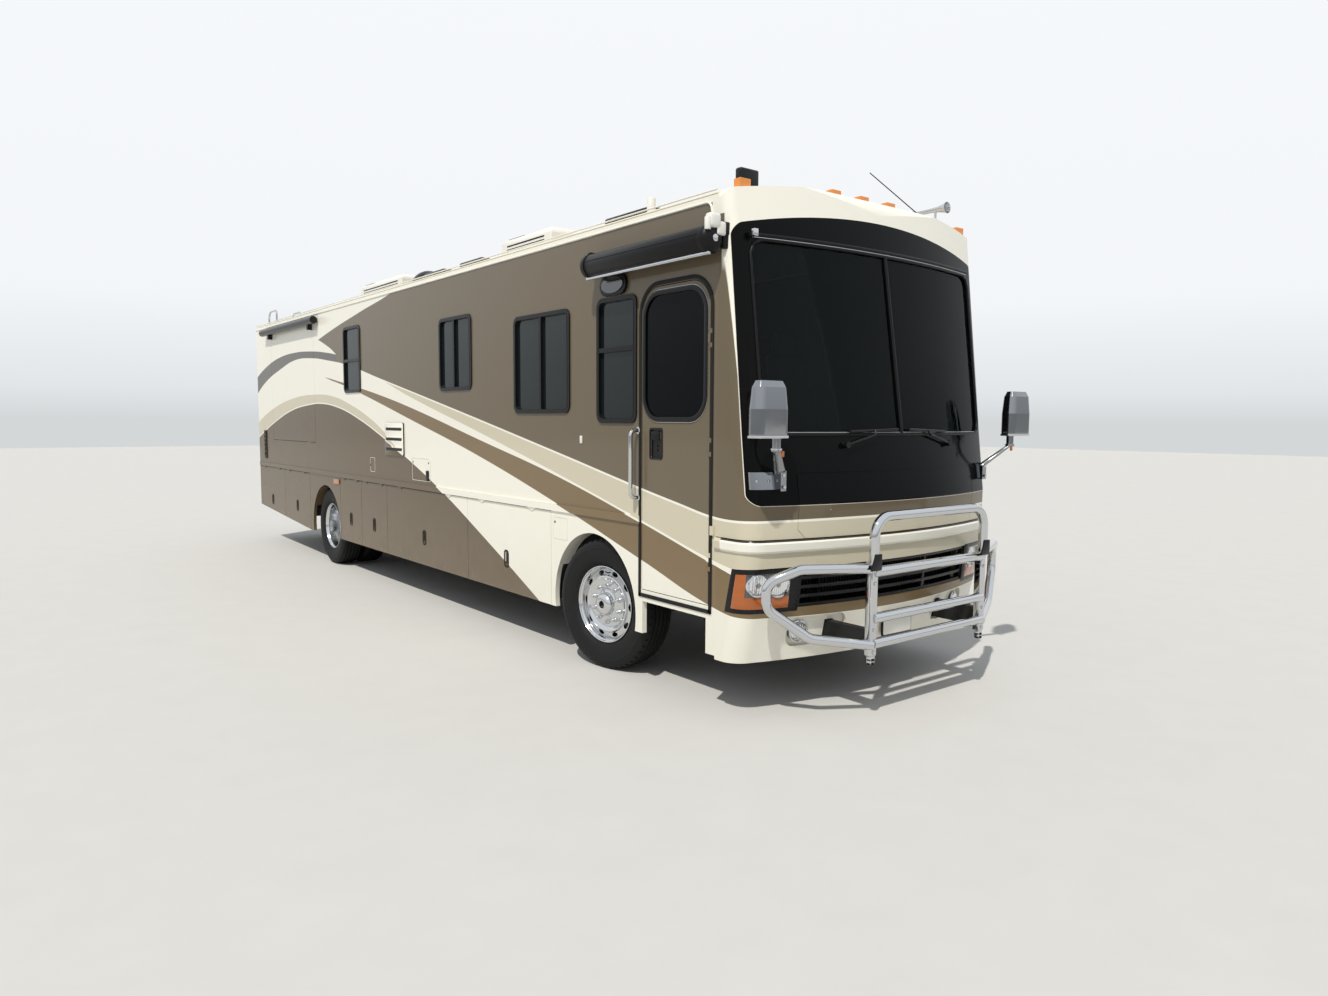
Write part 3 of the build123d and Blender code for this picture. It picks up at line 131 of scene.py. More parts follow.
class Finish:
    def __init__(self, name):
        self.material = bpy.data.materials.new(name)
        self.material.use_nodes = True
        self.tree = self.material.node_tree
        self.shader = self.tree.nodes["Principled BSDF"]

    def node(self, kind, settings=None, inputs=None, out=0):
        made = self.tree.nodes.new(kind)
        for key, value in (settings or {}).items():
            if key == "stops":
                ramp = made.color_ramp
                while len(ramp.elements) < len(value):
                    ramp.elements.new(0.5)
                for element, (place, colour) in zip(ramp.elements, value):
                    element.position = place
                    element.color = colour if len(colour) == 4 else (*colour, 1)
            elif key == "points":
                curve = made.mapping.curves[0]
                while len(curve.points) < len(value):
                    curve.points.new(0.5, 0.5)
                for point, place in zip(curve.points, value):
                    point.location = place
                made.mapping.update()
            else:
                setattr(made, key, value)
        for key, value in (inputs or {}).items():
            self.feed(made.inputs[key], value)
        return Link(self, made.outputs[out])

    def feed(self, socket, value):
        if isinstance(value, Link):
            self.tree.links.new(value.socket, socket)
        elif isinstance(value, (tuple, list)) and len(value) == 3 and socket.type == "RGBA":
            socket.default_value = (*value, 1)
        else:
            socket.default_value = value

    def set(self, **values):
        for key, value in values.items():
            self.feed(self.shader.inputs[key.replace("_", " ")], value)
        return self

    def place(self):
        return self.node("ShaderNodeTexCoord", out="Object")

    def axes(self, vector):
        split = self.node("ShaderNodeSeparateXYZ", inputs={0: vector})
        outputs = split.socket.node.outputs
        return [Link(self, outputs[i]) for i in range(3)]

    def noise(self, scale, detail=3.0, rough=0.55, vector=None, out=0):
        inputs = {"Scale": scale, "Detail": detail, "Roughness": rough, "Vector": vector or self.place()}
        return self.node("ShaderNodeTexNoise", inputs=inputs, out=out)

    def stretched(self, scale):
        return self.node("ShaderNodeMapping", inputs={"Vector": self.place(), "Scale": scale})

    def mix(self, amount, first, second):
        return self.node("ShaderNodeMix", {"data_type": "RGBA"}, {0: amount, 6: first, 7: second}, out=2)

    def ramp(self, value, stops):
        return self.node("ShaderNodeValToRGB", {"stops": stops}, {0: value})

    def spread(self, value, low, high):
        # A 0 to 1 value turned into the range low to high
        return value * (high - low) + low

    def bump(self, height, strength, distance):
        inputs = {"Strength": strength, "Distance": distance, "Height": height}
        return self.node("ShaderNodeBump", inputs=inputs)


class Sky(Finish):
    # The world's nodes, made in the same way as a finish
    def __init__(self, name):
        world = bpy.data.worlds.new(name)
        world.use_nodes = True
        bpy.context.scene.world = world
        self.tree = world.node_tree


def rgb(red, green, blue):
    # A colour as it shows on a screen, made linear
    shares = [c / 255 for c in (red, green, blue)]
    return tuple(((c + 0.055) / 1.055) ** 2.4 if c > 0.04 else c / 12.92 for c in shares)

# Stage: a pale floor and a soft sky

stageLook = {
    "floor": rgb(206, 204, 199),
    "floorGrain": rgb(184, 182, 177),
    "floorSize": 120.0,
    "skyTop": (0.84, 0.90, 0.98),
    "skyLow": (0.62, 0.65, 0.68),
    "skyStrength": 0.62,
    # Ahead of the camera the backdrop is pale, and elsewhere a darker belt lies along the horizon
    "backdrop": [(0.0, (0.62, 0.63, 0.63)), (0.50, (0.66, 0.68, 0.69)), (0.515, (0.76, 0.79, 0.81)),
                 (0.56, (0.90, 0.92, 0.94)), (0.75, (0.93, 0.95, 0.97)), (1.0, (0.80, 0.87, 0.95))],
    "behind": [(0.0, (0.42, 0.43, 0.43)), (0.50, (0.39, 0.40, 0.40)), (0.53, (0.44, 0.46, 0.47)),
               (0.565, (0.62, 0.65, 0.68)), (0.61, (0.84, 0.87, 0.90)), (1.0, (0.84, 0.90, 0.96))],
    "belt": (-0.617, -0.787, 0),
    "beltReach": (-0.80, -0.08),
    "sunStrength": 3.0,
    "sunTurn": (35, 0, -58),
    "sunSize": 1.2,
    "sunColour": (1.0, 0.97, 0.92),
}


def setFloor():
    bpy.ops.mesh.primitive_grid_add(x_subdivisions=2, y_subdivisions=2, size=stageLook["floorSize"])
    floor = bpy.context.object
    floor.name = "floor"
    f = Finish("paleFloor")
    grain = f.noise(3.0, 6.0)
    f.set(Base_Color=f.mix(grain * 0.3, stageLook["floor"], stageLook["floorGrain"]), Roughness=0.7)
    f.set(Specular_IOR_Level=0.15)
    floor.data.materials.append(f.material)


def setSky():
    sky = Sky("sky")
    heading = sky.node("ShaderNodeTexCoord")
    height = sky.axes(heading)[2]
    light = sky.tree.nodes["Background"]
    sky.feed(light.inputs[0], sky.ramp(height, [(0.0, stageLook["skyLow"]), (0.55, stageLook["skyTop"])]))
    light.inputs[1].default_value = stageLook["skyStrength"]
    pair = {0: heading, 1: stageLook["belt"]}
    turn = sky.node("ShaderNodeVectorMath", {"operation": "DOT_PRODUCT"}, pair, "Value")
    first, last = stageLook["beltReach"]
    reach = {0: turn, 1: first, 2: last}
    share = sky.node("ShaderNodeMapRange", {"interpolation_type": "SMOOTHSTEP"}, reach)
    level = height * 0.5 + 0.5
    backdrop = sky.mix(share, sky.ramp(level, stageLook["backdrop"]), sky.ramp(level, stageLook["behind"]))
    shown = sky.node("ShaderNodeBackground", inputs={0: backdrop, 1: 1.0})
    # Metal and glass show the same backdrop as the camera sees
    seen = sky.node("ShaderNodeLightPath", out="Is Camera Ray")
    rays = seen.socket.node.outputs
    for kind in ("Is Glossy Ray", "Is Transmission Ray"):
        seen = seen.most(Link(sky, rays[kind]))
    blend = sky.node("ShaderNodeMixShader", inputs={0: seen, 1: Link(sky, light.outputs[0]), 2: shown})
    sky.feed(sky.tree.nodes["World Output"].inputs[0], blend)


def setSun():
    bpy.ops.object.light_add(type="SUN", rotation=[math.radians(a) for a in stageLook["sunTurn"]])
    sun = bpy.context.object
    sun.data.energy = stageLook["sunStrength"]
    sun.data.angle = math.radians(stageLook["sunSize"])
    sun.data.color = stageLook["sunColour"]


setFloor()
setSky()
setSun()
print("stage set")

# Paint: cream body with taupe, greige and brown sweeps, drawn over station and height

paintColours = {
    "cream": rgb(238, 235, 222),
    "taupe": rgb(106, 95, 77),
    "greige": rgb(202, 194, 171),
    "brown": rgb(122, 103, 74),
    "arch": rgb(95, 80, 58),
    "arc": rgb(96, 92, 86),
    "mask": rgb(9, 9, 10),
    "weather": rgb(222, 216, 198),
    "dust": rgb(170, 160, 142),
}
paintLines = {
    # Lower edge of the taupe field, which runs on as the lower edge of the grey arc
    "taupeLow": [(-1.60, 1.295), (-1.42, 1.298), (-1.0, 1.365), (0.5, 1.650), (2.0, 1.935), (4.48, 2.396),
                 (5.54, 2.592), (6.2, 2.672), (6.8, 2.730), (7.6, 2.748), (8.4, 2.643), (9.18, 2.486),
                 (9.74, 2.29)],
    "arcTop": [(5.6, 2.69), (5.89, 2.732), (6.3, 2.780), (6.8, 2.822), (7.69, 2.851), (8.47, 2.814),
               (9.15, 2.708), (9.74, 2.55)],
    "tailTop": [(3.6, 3.42), (3.93, 3.325), (5.0, 3.185), (5.9, 3.068), (6.59, 2.960), (6.8, 2.92)],
    "tailLow": [(5.5, 2.55), (5.89, 2.732), (6.10, 2.818), (6.30, 2.880), (6.59, 2.960), (6.8, 3.0)],
    "greigeLow": [(-1.60, 0.975), (-1.42, 1.005), (-0.6, 1.205), (0.48, 1.468), (2.0, 1.815), (3.6, 2.170),
                  (4.48, 2.396), (4.8, 2.48)],
    "spearTop": [(-1.60, 0.93), (-1.42, 0.975), (-0.63, 1.180), (0.6, 1.472), (1.93, 1.731), (3.6, 2.055),
                 (4.49, 2.205), (5.56, 2.358), (6.34, 2.462), (6.6, 2.49)],
    "spearLow": [(-1.60, 0.672), (-1.45, 0.690), (-0.6, 0.918), (0.48, 1.217), (1.93, 1.575), (3.6, 1.928),
                 (4.98, 2.214), (5.56, 2.325), (6.34, 2.458), (6.6, 2.52)],
    "archTop": [(0.65, 0.29), (0.87, 0.393), (1.95, 0.858), (2.75, 1.181), (3.5, 1.445), (4.51, 1.755),
                (5.10, 1.912), (5.81, 2.055), (6.5, 2.118), (7.1, 2.105), (7.77, 2.048), (8.57, 1.904),
                (9.74, 1.60)],
    "archBand": [(3.7, 1.50), (4.23, 1.742), (4.75, 1.930), (5.41, 2.098), (6.09, 2.213), (6.78, 2.245),
                 (7.76, 2.211), (8.84, 2.066), (9.74, 1.84)],
}
stripeEnds = {
    # Stations where each field begins or ends
    "arcFront": 5.88,
    "fieldRear": 5.89,
    "tailTopFront": 3.93,
    "tailRear": 6.60,
    "greigeRear": 4.48,
    "spearRear": 6.34,
    "archFront": 0.70,
    "bandFront": 3.85,
}
creamEdge = {
    # Cream along the roof's edge, lower on the moulded top of the nose
    "level": 3.300,
    "capLevel": 3.215,
    "capFront": -1.33,
    "browLevel": 3.115,
    "browFront": -1.44,
}
mask = {
    # Black surround of the windshield: an arched top, rounded corners and a cream outline, which widens
    # upwards into a painted highlight along the rounded corner beside it
    "top": 3.285,
    "arch": 0.085,
    "halfWidth": 1.277,
    "low": 1.39,
    "corner": 0.075,
    "front": -1.42,
    "outline": 0.0025,
    "outlineHighlightFrom": 2.2,
    "outlineHighlightGrowth": 0.022,
}
ledge = {
    # A cream band painted as the highlight on the ledge's rounded top, and a dark band painted as the shade
    # in the groove under the seam
    "front": -1.45,
    "pale": (1.090, 1.163),
    "seamShade": (1.161, 1.176),
    "seamShadeColour": rgb(58, 52, 42),
}
stripeReach = (-1.62, 9.76)
stripeTop = 3.6
pinLine = 0.016


def maskedNose(f, colour, x, z, station):
    # Adds the surround with its outline, whose upper widening is a painted highlight, then on the ledge below
    # the seam a painted highlight and painted shade in the seam's groove, and gives the surround's share too
    corner = mask["corner"]
    arched = mask["top"] - x * x * mask["arch"]
    reachX = abs(x) - (mask["halfWidth"] - corner)
    reachZ = (mask["low"] + corner) - z
    cornerZ = reachZ.most(z - (arched - corner))
    distance = (reachX.most(0.0) ** 2 + cornerZ.most(0.0) ** 2) ** 0.5 + reachX.most(cornerZ).least(0.0)
    front = station.under(mask["front"])
    # Cream outline round the surround; above a set level it widens into a painted highlight along the rounded
    # corner
    outlineAndHighlight = (z - mask["outlineHighlightFrom"]).most(0.0) * mask["outlineHighlightGrowth"] + (corner + mask["outline"])
    colour = f.mix(distance.under(outlineAndHighlight, 0.002) * front, colour, paintColours["cream"])
    surround = distance.under(corner, 0.002) * front
    colour = f.mix(surround, colour, paintColours["mask"])
    # Painted highlight on the ledge's rounded top, then painted shade in the groove under the seam
    front = station.under(ledge["front"])
    low, high = ledge["pale"]
    colour = f.mix(z.under(high, 0.004) * z.over(low, 0.006) * front, colour, paintColours["cream"])
    low, high = ledge["seamShade"]
    return f.mix(z.under(high) * z.over(low) * front, colour, ledge["seamShadeColour"]), surround


def paintFinish(name, masked=False):
    f = Finish(name)
    x, y, z = f.axes(f.place())
    station = y - coach["axleY"]
    low, high = stripeReach
    share = (station - low) / (high - low)

    def line(key):
        points = [((s - low) / (high - low), level / stripeTop) for s, level in paintLines[key]]
        return f.node("ShaderNodeFloatCurve", {"points": points}, {"Value": share}) * stripeTop

    def behind(key):
        return station.over(stripeEnds[key])

    def before(key):
        return station.under(stripeEnds[key])

    taupeLow = line("taupeLow")
    aboveTaupe = z.over(taupeLow)
    arc = aboveTaupe * z.under(line("arcTop")) * behind("arcFront")
    tailLow = line("tailLow").least(before("fieldRear") * -9.0 + 9.0)
    tail = aboveTaupe * z.over(tailLow) * z.under(line("tailTop"))
    field = aboveTaupe * before("fieldRear") * z.under(line("tailTop").most(before("tailTopFront") * 9.0))
    tail = tail * behind("arcFront") * before("tailRear")
    greige = z.under(taupeLow - pinLine) * z.over(line("greigeLow")) * before("greigeRear")
    spear = z.under(line("spearTop")) * z.over(line("spearLow")) * before("spearRear")
    archTop = line("archTop")
    arch = z.under(archTop) * behind("archFront")
    band = z.under(line("archBand")) * z.over(archTop + pinLine) * behind("bandFront")
    colour = f.mix(f.noise(1.3, 5.0) * 0.10, paintColours["cream"], paintColours["weather"])
    for covered, key in ((greige, "greige"), (band, "greige"), (field.most(tail), "taupe"), (arc, "arc"),
                         (spear, "brown"), (arch, "arch")):
        colour = f.mix(covered, colour, paintColours[key])
    roughness = f.spread(f.noise(2.2, 4.0), 0.16, 0.26)
    capLevel, browLevel = creamEdge["capLevel"], creamEdge["browLevel"]
    lowered = station.under(creamEdge["browFront"]) * (browLevel - capLevel) + capLevel
    edge = z.over(creamEdge["level"]).most(z.over(lowered) * station.under(creamEdge["capFront"]))
    colour = f.mix(edge, colour, paintColours["cream"])
    if masked:
        colour, surround = maskedNose(f, colour, x, z, station)
        coat = (1.0 - surround) * 0.35
        roughness = roughness - surround * 0.10
        f.set(Specular_IOR_Level=0.10)
    else:
        # Polished at the front, and duller towards the rear
        coat = 0.36 - share * 0.34
        f.set(Specular_IOR_Level=0.25)
    # Dust that the wheels throw up settles along the skirt
    dust = z.under(0.75, 0.7) * f.noise(5.0, 6.0) * 0.22
    colour = f.mix(dust, colour, paintColours["dust"])
    ripple = f.noise(210.0, 2.0)
    waves = f.noise(1.1, 1.0)
    f.set(Base_Color=colour, Roughness=roughness + dust * 0.5, Coat_Weight=coat, Coat_Roughness=0.04)
    f.set(Normal=f.bump(ripple * 0.05 + waves, 0.35, 0.002))
    return f.material


print("paint mixed")


def plainFinish(name, colour, rough, metallic=0.0, coat=0.0, grain=60.0, depth=0.0006, vary=0.12,
                shine=0.5):
    # A hard surface whose tone, roughness and grain vary a little
    spread = 0.08
    f = Finish(name)
    f.set(Specular_IOR_Level=shine)
    cloud = f.noise(3.5, 5.0)
    fine = f.noise(grain, 3.0)
    darker = tuple(c * (1 - vary) for c in colour)
    f.set(Base_Color=f.mix(cloud, colour, darker), Metallic=metallic)
    f.set(Roughness=f.spread(fine, max(rough - spread, 0.02), rough + spread))
    f.set(Coat_Weight=coat, Coat_Roughness=0.05, Normal=f.bump(fine, 0.25, depth))
    return f.material


def chromeFinish(name, colour=(0.80, 0.81, 0.82), rough=0.05):
    f = Finish(name)
    smear = f.noise(9.0, 5.0)
    f.set(Base_Color=colour, Metallic=1.0, Roughness=f.spread(smear, rough * 0.4, rough * 1.8))
    f.set(Normal=f.bump(f.noise(35.0, 2.0), 0.02, 0.001))
    return f.material


def brushedFinish(name):
    f = Finish(name)
    hairs = f.noise(1.0, 4.0, vector=f.stretched((30, 30, 900)))
    f.set(Base_Color=(0.66, 0.67, 0.68), Metallic=1.0, Roughness=f.spread(hairs, 0.06, 0.2))
    f.set(Normal=f.bump(hairs, 0.1, 0.0003))
    return f.material


def rubberFinish(name, colour=(0.008, 0.008, 0.009)):
    f = Finish(name)
    dusty = f.noise(6.0, 6.0)
    fine = f.noise(260.0, 2.0)
    f.set(Base_Color=f.mix(dusty * 0.3, colour, (0.030, 0.028, 0.026)), Roughness=f.spread(fine, 0.5, 0.75))
    f.set(Specular_IOR_Level=0.2)
    f.set(Normal=f.bump(fine, 0.3, 0.0006))
    return f.material


def lensFinish(name, colour, alpha, upper=None):
    # Ribbed lens plastic, with another tint for the lamps up on the roof
    f = Finish(name)
    x, y, z = f.axes(f.place())
    ribs = ((x + y) * 160.0).maths("SINE") * 0.5 + (z * 110.0).maths("SINE") * 0.5
    tone = f.mix(f.noise(14.0), colour, tuple(c * 0.75 for c in colour))
    f.set(Base_Color=f.mix(z.over(3.0), tone, upper) if upper else tone, Roughness=0.08)
    f.set(Alpha=alpha, Coat_Weight=1.0, Coat_Roughness=0.02, Normal=f.bump(ribs, 0.35, 0.003))
    return f.material


def glassFinish(name, tint, clear, shine, sides=None):
    # Tinted pane: part of the light passes through, and the rest is a dark gloss
    f = Finish(name)
    f.set(Base_Color=tint, Roughness=f.spread(f.noise(2.0, 4.0), 0.01, 0.04))
    f.set(Specular_IOR_Level=shine)
    f.set(Normal=f.bump(f.noise(1.6, 1.0), 0.12, 0.004))
    through = f.node("ShaderNodeBsdfTransparent", inputs={0: tuple(min(1.0, c * 9 + 0.45) for c in tint)})
    output = f.tree.nodes["Material Output"]
    fresnel = f.node("ShaderNodeFresnel", inputs={0: 1.5})
    share = (1.0 - fresnel) * clear
    if sides is not None:
        # The windows along the body are darker than the windshield
        x, y = f.axes(f.place())[:2]
        share = share - share * (1.0 - sides) * abs(x).over(1.20) * (y - coach["axleY"]).over(-1.3)
    shown = f.node("ShaderNodeMixShader", inputs={0: share, 2: through})
    f.tree.links.new(f.shader.outputs[0], shown.socket.node.inputs[1])
    f.tree.links.new(shown.socket, output.inputs[0])
    return f.material


lampBowls = {
    # Distance from the middle and level, then the radius of each bowl and of its bezel
    "centres": [(1.055, 0.882), (1.195, 0.884), (0.860, 0.552)],
    "bowls": (0.073, 0.066, 0.060),
    "bezels": (0.079, 0.071, 0.068),
}


def lampFinish(name):
    # Bright bowls with ribs seen through a clear cover, by place: twin headlamps, round fog and porch lamps
    f = Finish(name)
    axes = f.axes(f.place())
    across, z = abs(axes[0]), axes[2]
    bowls = None
    for (centreX, centreZ), radius in zip(lampBowls["centres"], lampBowls["bowls"]):
        away = ((across - centreX) ** 2 + (z - centreZ) ** 2) ** 0.5
        bowl = away.under(radius, 0.006) * (1.0 - away.under(0.017, 0.005) * 0.75)
        bowls = bowl if bowls is None else bowls.most(bowl)
    ribs = (across * 420.0).maths("SINE") * 0.5 + 0.5
    colour = f.mix(bowls, rgb(96, 98, 100), rgb(236, 238, 240))
    f.set(Base_Color=f.mix(ribs * 0.28, colour, rgb(60, 62, 64)), Metallic=0.75)
    f.set(Roughness=f.spread(ribs, 0.06, 0.2))
    f.set(Coat_Weight=1.0, Coat_Roughness=0.02, Normal=f.bump(ribs * 0.4 + bowls, 0.5, 0.004))
    return f.material


def clothFinish(name, colour):
    f = Finish(name)
    weave = f.node("ShaderNodeTexWave", {"wave_type": "BANDS"}, {"Scale": 120.0, "Distortion": 1.5,
                                                              "Vector": f.place()}, out=1)
    f.set(Base_Color=f.mix(f.noise(30.0), colour, tuple(c * 0.7 for c in colour)), Roughness=0.85)
    f.set(Normal=f.bump(weave, 0.4, 0.001))
    return f.material


finishes = {
    "paint": paintFinish("coachPaint"),
    "capPaint": paintFinish("capPaint", masked=True),
    "frame": plainFinish("frameEnamel", (0.016, 0.016, 0.017), 0.45, grain=90, vary=0.4, shine=0.3),
    "cast": plainFinish("castSteel", (0.05, 0.048, 0.045), 0.62, metallic=0.3, grain=140, depth=0.002,
                        vary=0.4),
    "alloy": brushedFinish("polishedAlloy"),
    "chrome": chromeFinish("brightChrome", (0.62, 0.63, 0.645), 0.035),
    "tyre": rubberFinish("tyreRubber"),
    "seal": rubberFinish("sealRubber", (0.010, 0.010, 0.011)),
    "glass": glassFinish("windshieldGlass", (0.008, 0.013, 0.014), 0.84, shine=0.48, sides=0.03),
    "darkGlass": glassFinish("privacyGlass", (0.003, 0.004, 0.0045), 0.08, shine=0.12),
    "lamp": lampFinish("headlampBowls"),
    "black": plainFinish("blackMoulding", (0.007, 0.007, 0.008), 0.28, grain=240, vary=0.3, shine=0.28),
    "satin": plainFinish("satinBlack", (0.007, 0.007, 0.008), 0.40, grain=400, depth=0.0008, vary=0.3,
                         shine=0.2),
    "amber": lensFinish("amberLens", rgb(182, 92, 4), alpha=0.95, upper=rgb(232, 138, 20)),
    "red": lensFinish("redLens", rgb(150, 12, 12), alpha=1.0),
    "trim": plainFinish("cabTrim", (0.10, 0.088, 0.072), 0.65, grain=300, depth=0.001),
    "cloth": clothFinish("seatCloth", (0.23, 0.19, 0.14)),
    "shellChrome": chromeFinish("mirrorShells", (0.32, 0.33, 0.35), 0.06),
    "mirror": chromeFinish("mirrorFace", (0.86, 0.88, 0.9), 0.01),
    "white": plainFinish("whiteShell", rgb(236, 234, 226), 0.34, coat=0.2, grain=120),
    "cream": plainFinish("creamTrim", rgb(238, 235, 222), 0.28, coat=0.5, grain=150, vary=0.06),
    "roof": plainFinish("roofSkin", rgb(228, 218, 192), 0.5, grain=45, depth=0.001, vary=0.14),
    "tray": plainFinish("traySheet", (0.09, 0.09, 0.088), 0.5, metallic=0.4, grain=70, vary=0.35),
}
print("finishes made")

wornBy = {
    "paint": ["side_wall_right", "side_wall_left", "rear_cap", "engine_lid", "slide_out_right",
              "slide_out_left", "entry_door", "rub_rails"],
    "capPaint": ["front_cap", "front_bumper"],
    "frame": ["frame_rails", "step_arms", "step_tread"],
    "cast": ["front_axle", "rear_axle", "engine_block", "tie_rod", "knuckle_right", "knuckle_left"],
    "alloy": ["front_rim_right", "front_rim_left", "rear_rims_right", "rear_rims_left"],
    "chrome": ["brush_guard", "roof_horns", "ladder_and_handle"],
    "shellChrome": ["mirrors"],
    "tyre": ["front_tyre_right", "front_tyre_left", "rear_tyres_right", "rear_tyres_left"],
    "glass": ["body_glass"],
    "darkGlass": ["entry_door_glass"],
    "black": ["front_grille", "window_frames", "door_awning", "wipers", "roof_vents", "slide_awning_right",
              "slide_awning_left"],
    "amber": ["amber_lamps"],
    "red": ["tail_lamps"],
    "lamp": ["clear_lamps"],
    "trim": ["cabin_floor", "dashboard", "steering_wheel"],
    "cloth": ["cab_seats"],
    "mirror": ["mirror_glass"],
    "white": ["roof_air_units"],
    "roof": ["roof_panel"],
    "tray": ["basement_trays"],
}
wornBy["paint"] += [name for name in nodes if name.startswith("baggage_door")]
for finish, members in wornBy.items():
    for name in members:
        nodes[name].data.materials.clear()
        nodes[name].data.materials.append(finishes[finish])
print("frame dressed")

# Modelling, as by hand: a primitive, edit mode, then modifiers that are applied


def deselect():
    if bpy.context.mode != "OBJECT":
        bpy.ops.object.mode_set(mode="OBJECT")
    bpy.ops.object.select_all(action="DESELECT")


def pick(piece):
    deselect()
    piece.select_set(True)
    bpy.context.view_layer.objects.active = piece


def named(name):
    # The object that the last step left active
    piece = bpy.context.object
    piece.name = name
    return piece


def settle(piece):
    pick(piece)
    bpy.ops.object.transform_apply(location=True, rotation=True, scale=True)
    return piece


def applied(piece, kind, **settings):
    pick(piece)
    modifier = piece.modifiers.new(kind.lower(), kind)
    for key, value in settings.items():
        setattr(modifier, key, value)
    bpy.ops.object.modifier_apply(modifier=modifier.name)
    return piece


def softened(piece, width, segments=2, angle=35):
    return applied(piece, "BEVEL", width=width, segments=segments, limit_method="ANGLE",
                   angle_limit=math.radians(angle), harden_normals=False)


def smooth(piece, angle=35):
    pick(piece)
    bpy.ops.object.shade_smooth_by_angle(angle=math.radians(angle))
    return piece


def edit(piece, mode="VERT"):
    pick(piece)
    bpy.ops.object.mode_set(mode="EDIT")
    bpy.ops.mesh.select_mode(type=mode)
    bpy.ops.mesh.select_all(action="SELECT")


def chooseFaces(piece, wanted):
    # In edit mode, selects the faces whose centre passes the test
    mesh = bmesh.from_edit_mesh(piece.data)
    for face in mesh.faces:
        face.select_set(bool(wanted(face.calc_center_median())))
    mesh.select_flush_mode()
    bmesh.update_edit_mesh(piece.data)


def chooseNearest(piece, place):
    # In edit mode, selects the one vertex nearest to a place
    bpy.ops.mesh.select_all(action="DESELECT")
    mesh = bmesh.from_edit_mesh(piece.data)
    min(mesh.verts, key=lambda vert: (vert.co - place).length).select_set(True)
    mesh.select_flush_mode()
    bmesh.update_edit_mesh(piece.data)


def outward():
    # In edit mode: welds, turns the faces outwards and leaves edit mode
    bpy.ops.mesh.select_all(action="SELECT")
    bpy.ops.mesh.remove_doubles(threshold=0.00005)
    bpy.ops.mesh.normals_make_consistent(inside=False)
    bpy.ops.object.mode_set(mode="OBJECT")


def copyOf(piece, name, place=None):
    pick(piece)
    bpy.ops.object.duplicate()
    made = named(name)
    if place is not None:
        made.data.transform(place)
    return made


def joined(pieces, name):
    deselect()
    for piece in pieces:
        piece.select_set(True)
    bpy.context.view_layer.objects.active = pieces[0]
    if len(pieces) > 1:
        bpy.ops.object.join()
    return named(name)


def moved(piece, place):
    piece.data.transform(place)
    return piece


def dress(piece, finish, body="coach", replaces=()):
    piece.data.materials.clear()
    piece.data.materials.append(finishes[finish])
    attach(piece, body)
    if replaces:
        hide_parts(*replaces)
    return piece


def fitted(pieces, name, finish, replaces=()):
    # Joined into one piece that rides on the coach
    return dress(joined(pieces, name), finish, "coach", replaces)


facings = {
    # Columns: the piece's x, y and outward z, seen from outside the wall it sits on
    "right": ((0, -1, 0), (0, 0, 1), (-1, 0, 0)),
    "left": ((0, 1, 0), (0, 0, 1), (1, 0, 0)),
    "front": ((1, 0, 0), (0, 0, 1), (0, -1, 0)),
    "rear": ((-1, 0, 0), (0, 0, 1), (0, 1, 0)),
}


def facing(side, place):
    columns = [Vector(c) for c in facings[side]]
    return Matrix.Translation(place) @ Matrix(columns).transposed().to_4x4()


def onWall(side, station, level, proud=0.0):
    reach = coach["halfWidth"] + proud
    return facing(side, (-reach if side == "right" else reach, at(station), level))


def raised(piece, thick, band, bevel):
    # In edit mode: thickens a flat piece standing on z = 0; a band leaves only a frame along its edge
    if band:
        bpy.ops.mesh.select_mode(type="FACE")
        bpy.ops.mesh.select_all(action="SELECT")
        bpy.ops.mesh.inset(thickness=band)
        bpy.ops.mesh.delete(type="FACE")
    bpy.ops.mesh.select_all(action="SELECT")
    bpy.ops.mesh.extrude_region_move(TRANSFORM_OT_translate={"value": (0, 0, thick)})
    outward()
    if bevel:
        softened(piece, bevel)
    return smooth(piece)


def plate(name, width, height, thick, corner, bevel=0.0, steps=6, band=0.0):
    # Flat oblong with rounded corners
    bpy.ops.mesh.primitive_plane_add(size=1)
    piece = named(name)
    piece.scale = (width, height, 1)
    settle(piece)
    edit(piece)
    bpy.ops.mesh.bevel(affect="VERTICES", offset=corner, segments=steps)
    return raised(piece, thick, band, bevel)


def drawn(name, points):
    # A line of edges, extruded point by point from one vertex
    bpy.ops.mesh.primitive_plane_add(size=0.001, location=(0, 0, 0))
    piece = named(name)
    edit(piece)
    bpy.ops.mesh.merge(type="CENTER")
    bpy.ops.transform.translate(value=points[0])
    last = Vector(points[0])
    for point in points[1:]:
        step = Vector(point) - last
        bpy.ops.mesh.extrude_region_move(TRANSFORM_OT_translate={"value": step})
        last = Vector(point)
    return piece


def panel(name, outline, rounds, thick, band=0.0, bevel=0.0, steps=7):
    # Flat piece within an outline, with its corners rounded one by one
    piece = drawn(name, [(u, v, 0) for u, v in outline])
    bpy.ops.mesh.select_all(action="SELECT")
    bpy.ops.mesh.edge_face_add()
    for (u, v), radius in zip(outline, rounds):
        chooseNearest(piece, Vector((u, v, 0)))
        bpy.ops.mesh.bevel(affect="VERTICES", offset=radius, segments=steps)
    return raised(piece, thick, band, bevel)


def spun(name, profile, steps=64, angle=30):
    # Profile of radius and height, spun about z
    piece = drawn(name, [(r, 0, z) for r, z in profile])
    bpy.ops.mesh.select_all(action="SELECT")
    bpy.ops.mesh.spin(steps=steps, angle=2 * math.pi, center=(0, 0, 0), axis=(0, 0, 1))
    outward()
    return smooth(piece, angle)


